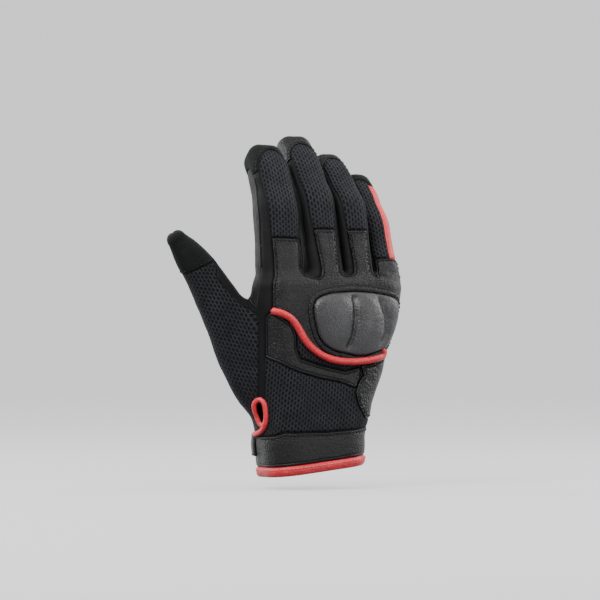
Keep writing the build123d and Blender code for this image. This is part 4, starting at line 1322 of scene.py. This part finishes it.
# stitches along the leather's free edges
def seam_line(l1, l2, where, inward, offset=2.0, step=1.0):
    """The seam between two labels, as an ordered line shifted into the first."""
    m = ((lab[p1] == l1) & (lab[p2] == l2)) | ((lab[p1] == l2) & (lab[p2] == l1))
    e = ed[m]
    mid = (V[e[:, 0]] + V[e[:, 1]]) / 2
    e = e[where(mid)]
    nb = {}
    for a, b in e:
        nb.setdefault(int(a), []).append(int(b))
        nb.setdefault(int(b), []).append(int(a))
    lines = []
    left_ = {tuple(sorted((int(a), int(b)))) for a, b in e}
    while left_:
        ends = [v for v in nb if sum(tuple(sorted((v, w))) in left_ for w in nb[v]) == 1]
        v = min(ends) if ends else min(min(x) for x in left_)
        line = [v]
        while True:
            nxt = [w for w in nb[v] if tuple(sorted((v, w))) in left_]
            if not nxt:
                break
            w = nxt[0]
            left_.discard(tuple(sorted((v, w))))
            line.append(w)
            v = w
        if len(line) > 6:
            lines.append(line)
    out = []
    kd = OUT[LAB[l1]]
    cen = np.unique(T[lab == l1].ravel())
    for line in lines:
        P = smooth_path(V[line], 7)
        P = resample(P, step)
        tan = np.gradient(P, axis=0)
        tan /= np.linalg.norm(tan, axis=1)[:, None]
        N = np.array([drop(p)[1] for p in P])
        B = np.cross(N, tan)
        # which side lies in the first label
        test = [BV.find_nearest(Vector(P[len(P) // 2] + s * B[len(P) // 2] * 1.5))[2] for s in (1, -1)]
        s = 1 if lab[test[0]] == l1 else -1
        Q = P + s * B * offset
        R = [drop(p) for p in Q]
        out.append((smooth_path(np.array([a for a, _ in R]), 5), smooth_path(np.array([b for _, b in R]), 5)))
    return out


L_ = {n: i for i, n in enumerate(LAB)}
cnt_ = 0
for a, b, cond, tag, lift in (("K", "side", lambda m: m[:, 1] < 30, "knuckle", 0.95), ("K", "meshf", lambda m: m[:, 1] < 60, "tab_top", 0.9), ("K", "red", lambda m: m[:, 1] < 60, "tab_side", 0.9), ("band", "side", lambda m: m[:, 2] > 40, "band_side", 0.85),
                              ("grip", "hback", lambda m: m[:, 2] > 20, "grip", 0.85), ("cap", "meshf", lambda m: m[:, 2] > 20, "cap", 0.62), ("cuff", "hback", lambda m: m[:, 2] > 0, "cuff_top", 0.6),
                              ("tcap", "gus", lambda m: m[:, 2] > 20, "thumb_cap", 0.55)):
    for P_, N_ in seam_line(L_[a], L_[b], cond, None):
        if len(P_) < 8:
            continue
        cnt_ += 1
        mid = P_[len(P_) // 2]
        hi = P_[:, 2].max()
        # a row that crosses into a finger is given that finger's key as its body
        body = "hand"
        if tag == "thumb_cap":
            body = ("thumb", 2)
        elif tag in ("tab_top", "cap", "tab_side"):
            fi = int(np.argmin([F.sdf(*F.chart(P_[len(P_) // 2:len(P_) // 2 + 1]))[0] for F in FINGERS]))
            body = (FN[fi], 2 if tag == "cap" or FN[fi] != "little" else 1)
            if tag in ("tab_top", "tab_side") and FN[fi] == "little":
                body = (FN[fi], 1)
            elif tag in ("tab_top", "tab_side"):
                body = (FN[fi], 2)
        if tag == "knuckle":
            # split the row where each finger's bend begins
            fi = [int(np.argmin([F.sdf(*F.chart(p[None]))[0] for F in FINGERS])) for p in P_]
            zz = np.array([((p - FINGERS[i].p) @ D0[i]) for p, i in zip(P_, fi)])
            key = np.where(zz < 1.5, -1, np.where(zz < 18, np.array(fi), 10 + np.array(fi)))
            st = 0
            for i in range(1, len(key) + 1):
                if i == len(key) or key[i] != key[st]:
                    if i - st > 5:
                        kk = int(key[st])
                        bd = "hand" if kk < 0 else (FN[kk], 1) if kk < 10 else (FN[kk - 10], 2)
                        stitches("knuckle_stitch_%d_%d" % (cnt_, st), P_[st:i], N_[st:i], bd, 1.9, 0.9, 0.25, lift)
                    st = i
            continue
        stitches("%s_stitch_%d" % (tag, cnt_), P_, N_, body, 1.9, 0.9, 0.25, lift)
log("stitches")

# welts down the finger sides, inside and outside the mesh
for fi, F in enumerate(FINGERS):
    for sgn, rad in ((1, 0.85), (-1, 0.6)):
        for zi, (sa, sb) in ((1, (3.0, 18.0)), (2, (18.0, F.cap - 1.0))):
            s_ = np.arange(sa, sb + 0.1, 1.5)
            w, t, r = F.dims(s_)
            ang = np.radians(16.0)
            P_ = F.at(s_, sgn * (w - 0.3 * r + 0.2), -(t * 0.30))
            R = [drop(p, 0.25) for p in P_]
            P_, N_ = smooth_path(np.array([a for a, _ in R]), 5), smooth_path(np.array([b for _, b in R]), 5)
            v_, f_ = tube(P_, rad, 8, flat=0.7, normal=N_)
            make("%s_welt_%s_%d" % (F.name, "inner" if sgn > 0 else "outer", zi), v_, f_, "dark", (F.name, zi))


# ------------------------------------------------------------------ palm side
def c_of(x, z, palm_side=True):
    cx, cy, a, b, r = [float(v) for v in hand_rows(np.array([z]))]
    quarter = (a - r) + r * math.pi / 2 + (b - r)
    xx = x - cx
    k = min(abs(xx), a - 0.01)
    if k > a - r:
        t = math.asin(min(1, (k - (a - r)) / r))
        k = (a - r) + r * t
    return math.copysign(2 * quarter - k, xx)


def palm_patch(name, outline, thick, material, pad=0.0, replaces=(), rows=14):
    """A plate on the palm inside a closed x, z outline."""
    o_ = resample(catmull(outline, 8, closed=True), 1.6, closed=True)
    c_ = o_.mean(0)
    P, N, H = np.zeros((rows, len(o_), 3)), np.zeros((rows, len(o_), 3)), np.zeros((rows, len(o_)))
    size = np.linalg.norm(o_ - c_, axis=1)
    for i in range(rows):
        k = ((i + 0.6) / (rows - 0.4)) ** 0.8
        for j, e in enumerate(o_):
            q_ = c_ + (e - c_) * k
            loc, nor, _, _ = BV.ray_cast(Vector((q_[0], 120, q_[1])), Vector((0, -1, 0)))
            if loc is None:
                loc, nor, _, _ = BV.find_nearest(Vector((q_[0], 20, q_[1])))
            P[i, j], N[i, j] = loc, nor
            H[i, j] = 0.25 + thick * float(step01((1 - k) * size[j] / 1.6)) + pad * float(step01((1 - k) * size[j] / 9.0))
    H[-1] = 0.1
    # the outline runs the other way round when seen from the palm
    return slab_patch(name, (P[:, ::-1], N[:, ::-1], H[:, ::-1]), True, 1.0, material, "hand", 0.5, replaces=replaces)


heel = palm_patch("heel_pad", [(0, 41), (18, 39.5), (35, 42), (39, 55), (37, 70), (27, 77), (13, 76), (1, 68), (-3, 54)], 0.8, "palm_suede", 2.2, ("palm_heel_pad",))
palm_patch("palm_grip", [(-27, 93), (-5, 91.5), (20, 92), (39, 94), (41, 104), (37, 114), (15, 116.5), (-10, 116), (-27, 113), (-30, 103)], 1.0, "grip", 0.0, ("palm_grip_patch",))

q0 = c_of(14.0, 16.4)
q1 = c_of(-35.6, 16.4)
full = 2 * 1.0
cx, cy, a_, b_, r_ = [float(v) for v in hand_rows(np.array([16.4]))]
QT = (a_ - r_) + r_ * math.pi / 2 + (b_ - r_)
# palm side from x 14 through the middle (2*QT) round to the thumb side
c_start, c_end = q0, 4 * QT - abs(q1) if q1 < 0 else q1


def strap_pt(c, z, off):
    if c > 2 * QT:
        return hand_ring(c - 4 * QT, z, off)
    return hand_ring(c, z, off)


def strap_plate(name, ca, cb_, z_lo, z_hi, off, thick, material, body, round_a=0.0, round_b=0.0, replaces=(), nz=9):
    cs = np.linspace(ca, cb_, max(10, int(abs(cb_ - ca) / 1.4)))
    P, N, H = np.zeros((nz, len(cs), 3)), np.zeros((nz, len(cs), 3)), np.zeros((nz, len(cs)))
    for j, c in enumerate(cs):
        e0, e1 = abs(c - ca), abs(c - cb_)
        cu = 0.0
        for e, rad in ((e0, round_a), (e1, round_b)):
            if rad and e < rad:
                cu = max(cu, rad - math.sqrt(max(rad * rad - (rad - e) ** 2, 0.0)))
        for i in range(nz):
            f = i / (nz - 1)
            z = z_lo + cu + f * (z_hi - z_lo - 2 * cu)
            root = float(step01(1 - e1 / 16.0)) if body == "root" else 0.0
            P[i, j], N[i, j] = strap_pt(c, z, off * (1 - 0.80 * root))
            e = min(min(f, 1 - f) * (z_hi - z_lo), e0, e1)
            H[i, j] = thick * (0.6 + 0.4 * float(step01(e / 1.4)))
    return slab_patch(name, (P, N, H), False, 1.0, material, body, 0.0, replaces=replaces)


strap_plate("strap_band", c_start, c_end, 10.0, 23.0, 2.35, 1.7, "leather", "root", 6.4, 0.0, ("wrist_strap",))
strap_plate("strap_hook", c_start + 4, c_start + 22, 12.0, 21.0, 1.85, 0.45, "hook", "strap", 1.5, 1.5, ("hook_patch",))
strap_plate("cuff_loop", c_start + 2, c_start + 34, 11.0, 21.0, 0.75, 0.75, "hook", "hand", 1.5, 1.5, ("loop_patch",))
line = []
for c in np.linspace(c_end, c_start + 6.4, 40):
    line.append(strap_pt(c, 10.4, 3.2 - 2.1 * float(step01(1 - abs(c - c_end) / 16.0))))
for t in np.linspace(0, math.pi, 14)[1:-1]:
    line.append(strap_pt(c_start + 6.4 - 6.2 * math.sin(t), 16.5 - 6.1 * math.cos(t), 3.2))
for c in np.linspace(c_start + 6.4, c_end, 40):
    line.append(strap_pt(c, 22.6, 3.2 - 2.1 * float(step01(1 - abs(c - c_end) / 16.0))))
lp, ln = np.array([a for a, _ in line]), np.array([b for _, b in line])
v_, f_ = tube(lp, 1.15, 8, normal=ln)
make("strap_edge_binding", v_, f_, "dark", "root", replaces=("strap_piping",))

# hem binding stitches all round
hp = []
for c in np.linspace(-2 * QT, 2 * QT, 150)[:-1]:
    p, n_ = hand_ring(c, 4.0, 0.0)
    z_ = 0.12 * p[0] + 4.6
    p, n_ = hand_ring(c, z_, 0.75)
    hp.append((p, n_))
hP, hN = np.array([a for a, _ in hp]), np.array([b for _, b in hp])
stitches("hem_stitch", cl(hP), cl(hN), "hand", 1.8, 0.9, 0.25, 0.3, "red_thread")

# lining and wrist elastic, seen through the opening
rows_ = np.arange(1.5, 60, 3.0)
cs = np.linspace(-2 * QT, 2 * QT, 90)[:-1]
P_ = np.zeros((len(rows_), len(cs), 3))
N_ = np.zeros_like(P_)
for i, z in enumerate(rows_):
    for j, c in enumerate(cs):
        p, n_ = hand_ring(c, float(z), -1.9)
        P_[i, j] = p + np.array([0, 0, 0.12 * p[0] * max(0.0, 1 - z / 20)])
        N_[i, j] = n_
n0_, m0_ = P_.shape[:2]
outer_, inner_ = (P_).reshape(-1, 3), (P_ - N_ * 0.5).reshape(-1, 3)
fs_ = []
o_ = n0_ * m0_
for i in range(n0_ - 1):
    for j in range(m0_):
        k = (j + 1) % m0_
        a, b, c_, d_ = i * m0_ + j, i * m0_ + k, (i + 1) * m0_ + k, (i + 1) * m0_ + j
        fs_ += [(a, b, c_, d_), (o_ + a, o_ + d_, o_ + c_, o_ + b)]
for j in range(m0_):
    k = (j + 1) % m0_
    fs_ += [(j, o_ + j, o_ + k, k), ((n0_ - 1) * m0_ + j, (n0_ - 1) * m0_ + k, o_ + (n0_ - 1) * m0_ + k, o_ + (n0_ - 1) * m0_ + j)]
# the keyhole shows the lining's edge, not a wall
make("inner_lining", np.vstack([outer_, inner_]), fs_, "lining", "hand", replaces=("back_lining", "wrist_elastic"))

left_over = [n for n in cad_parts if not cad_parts[n].hide_render]
for n in left_over:
    base_ = n.rsplit("_", 1)[0]
    target = None
    for key, ob in made.items():
        if len(key) == 3 and n.startswith(key[1]) and (("mesh" in n and key[0] == "meshf") or ("red" in n and key[0] == "red")):
            target = ob
    if target is not None:
        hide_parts(n)
    else:
        o_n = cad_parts[n]
        o_n.data.materials.clear()
        o_n.data.materials.append(M["fabric"])
log("left over", [n for n in left_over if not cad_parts[n].hide_render])

# ------------------------------------------------------------------ studio
def stage_mat():
    m, nt, b = mat("studio")
    t = nt.nodes.new("ShaderNodeTexNoise")
    t.inputs["Scale"].default_value = 3.0
    r = nt.nodes.new("ShaderNodeValToRGB")
    r.color_ramp.elements[0].color = (0.20, 0.202, 0.205, 1)
    r.color_ramp.elements[1].color = (0.22, 0.222, 0.225, 1)
    nt.links.new(t.outputs[0], r.inputs[0])
    nt.links.new(r.outputs[0], b.inputs["Base Color"])
    b.inputs["Roughness"].default_value = 0.9
    b.inputs["Emission Color"].default_value = (0.98, 0.985, 1.0, 1)
    b.inputs["Emission Strength"].default_value = 0.98
    b.inputs["Specular IOR Level"].default_value = 0.1
    return m


back_dir = Vector((0.4226, 0.9063, 0.0))
side_dir = Vector((0.9063, -0.4226, 0.0))
prof = [(0.0, -0.012), (0.3, -0.012), (1.0, -0.012), (2.0, -0.012), (2.8, -0.012)]
for i in range(1, 13):
    t = i / 12 * math.pi / 2
    prof.append((2.8 + 0.9 * math.sin(t), -0.012 + 0.9 * (1 - math.cos(t))))
prof.append((3.7, 3.6))
vs_, fs_ = [(0, 0, prof[0][1])], []
SEG = 72
for d, z in prof[1:]:
    for k in range(SEG):
        a = 2 * math.pi * k / SEG
        vs_.append((d * math.cos(a), d * math.sin(a), z))
for k in range(SEG):
    fs_.append((0, 1 + k, 1 + (k + 1) % SEG))
for i in range(len(prof) - 2):
    for k in range(SEG):
        a, b = 1 + i * SEG + k, 1 + i * SEG + (k + 1) % SEG
        fs_.append((a, a + SEG, b + SEG, b))
me = bpy.data.meshes.new("backdrop")
me.from_pydata(vs_, [], fs_)
me.polygons.foreach_set("use_smooth", [True] * len(me.polygons))
me.materials.append(stage_mat())
drop_ = bpy.data.objects.new("backdrop", me)
bpy.context.scene.collection.objects.link(drop_)
drop_.visible_diffuse = False
drop_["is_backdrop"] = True


def area(name, at, to, size, power, color=(1, 1, 1)):
    l = bpy.data.lights.new(name, "AREA")
    l.shape = "RECTANGLE"
    l.size, l.size_y = size
    l.energy = power
    l.color = color
    o = bpy.data.objects.new(name, l)
    o.location = at
    o.rotation_euler = (Vector(to) - Vector(at)).to_track_quat("-Z", "Y").to_euler()
    bpy.context.scene.collection.objects.link(o)
    o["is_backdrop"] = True


mid = Vector((-0.0065, 0.003, 0.11))
area("key", mid - back_dir * 0.9 - side_dir * 0.7 + Vector((0, 0, 1.0)), mid, (0.7, 0.7), 30)
area("fill", mid - back_dir * 1.0 + side_dir * 1.0 + Vector((0, 0, 0.3)), mid, (0.8, 1.0), 12)
area("rim_left", mid + back_dir * 0.45 - side_dir * 0.9 + Vector((0, 0, 0.4)), mid, (0.5, 1.0), 10)
area("rim_right", mid + back_dir * 0.35 + side_dir * 0.9 + Vector((0, 0, 0.5)), mid, (0.5, 1.0), 12)
area("wash", mid - back_dir * 0.2 + Vector((0, 0, 1.7)), mid + back_dir * 0.6, (2.2, 2.2), 46)
w = bpy.data.worlds.new("world")
w.use_nodes = True
w.node_tree.nodes["Background"].inputs[0].default_value = (0.85, 0.87, 0.9, 1)
w.node_tree.nodes["Background"].inputs[1].default_value = 0.12
bpy.context.scene.world = w

cam = bpy.data.cameras.new("camera")
cam.lens, cam.sensor_width = 250, 36
cam.clip_end = 20
co = bpy.data.objects.new("camera", cam)
tgt = Vector((-0.00648, 0.00302, 0.1105))
co.location = tgt - back_dir * 2.708
co.rotation_euler = back_dir.to_track_quat("-Z", "Y").to_euler()
bpy.context.scene.collection.objects.link(co)
bpy.context.scene.camera = co

lo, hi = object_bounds()
log("size cad", [round(b - a, 4) for a, b in zip(CAD_LO, CAD_HI)], "visual", [round(b - a, 4) for a, b in zip(lo, hi)], list(lo), CAD_LO)
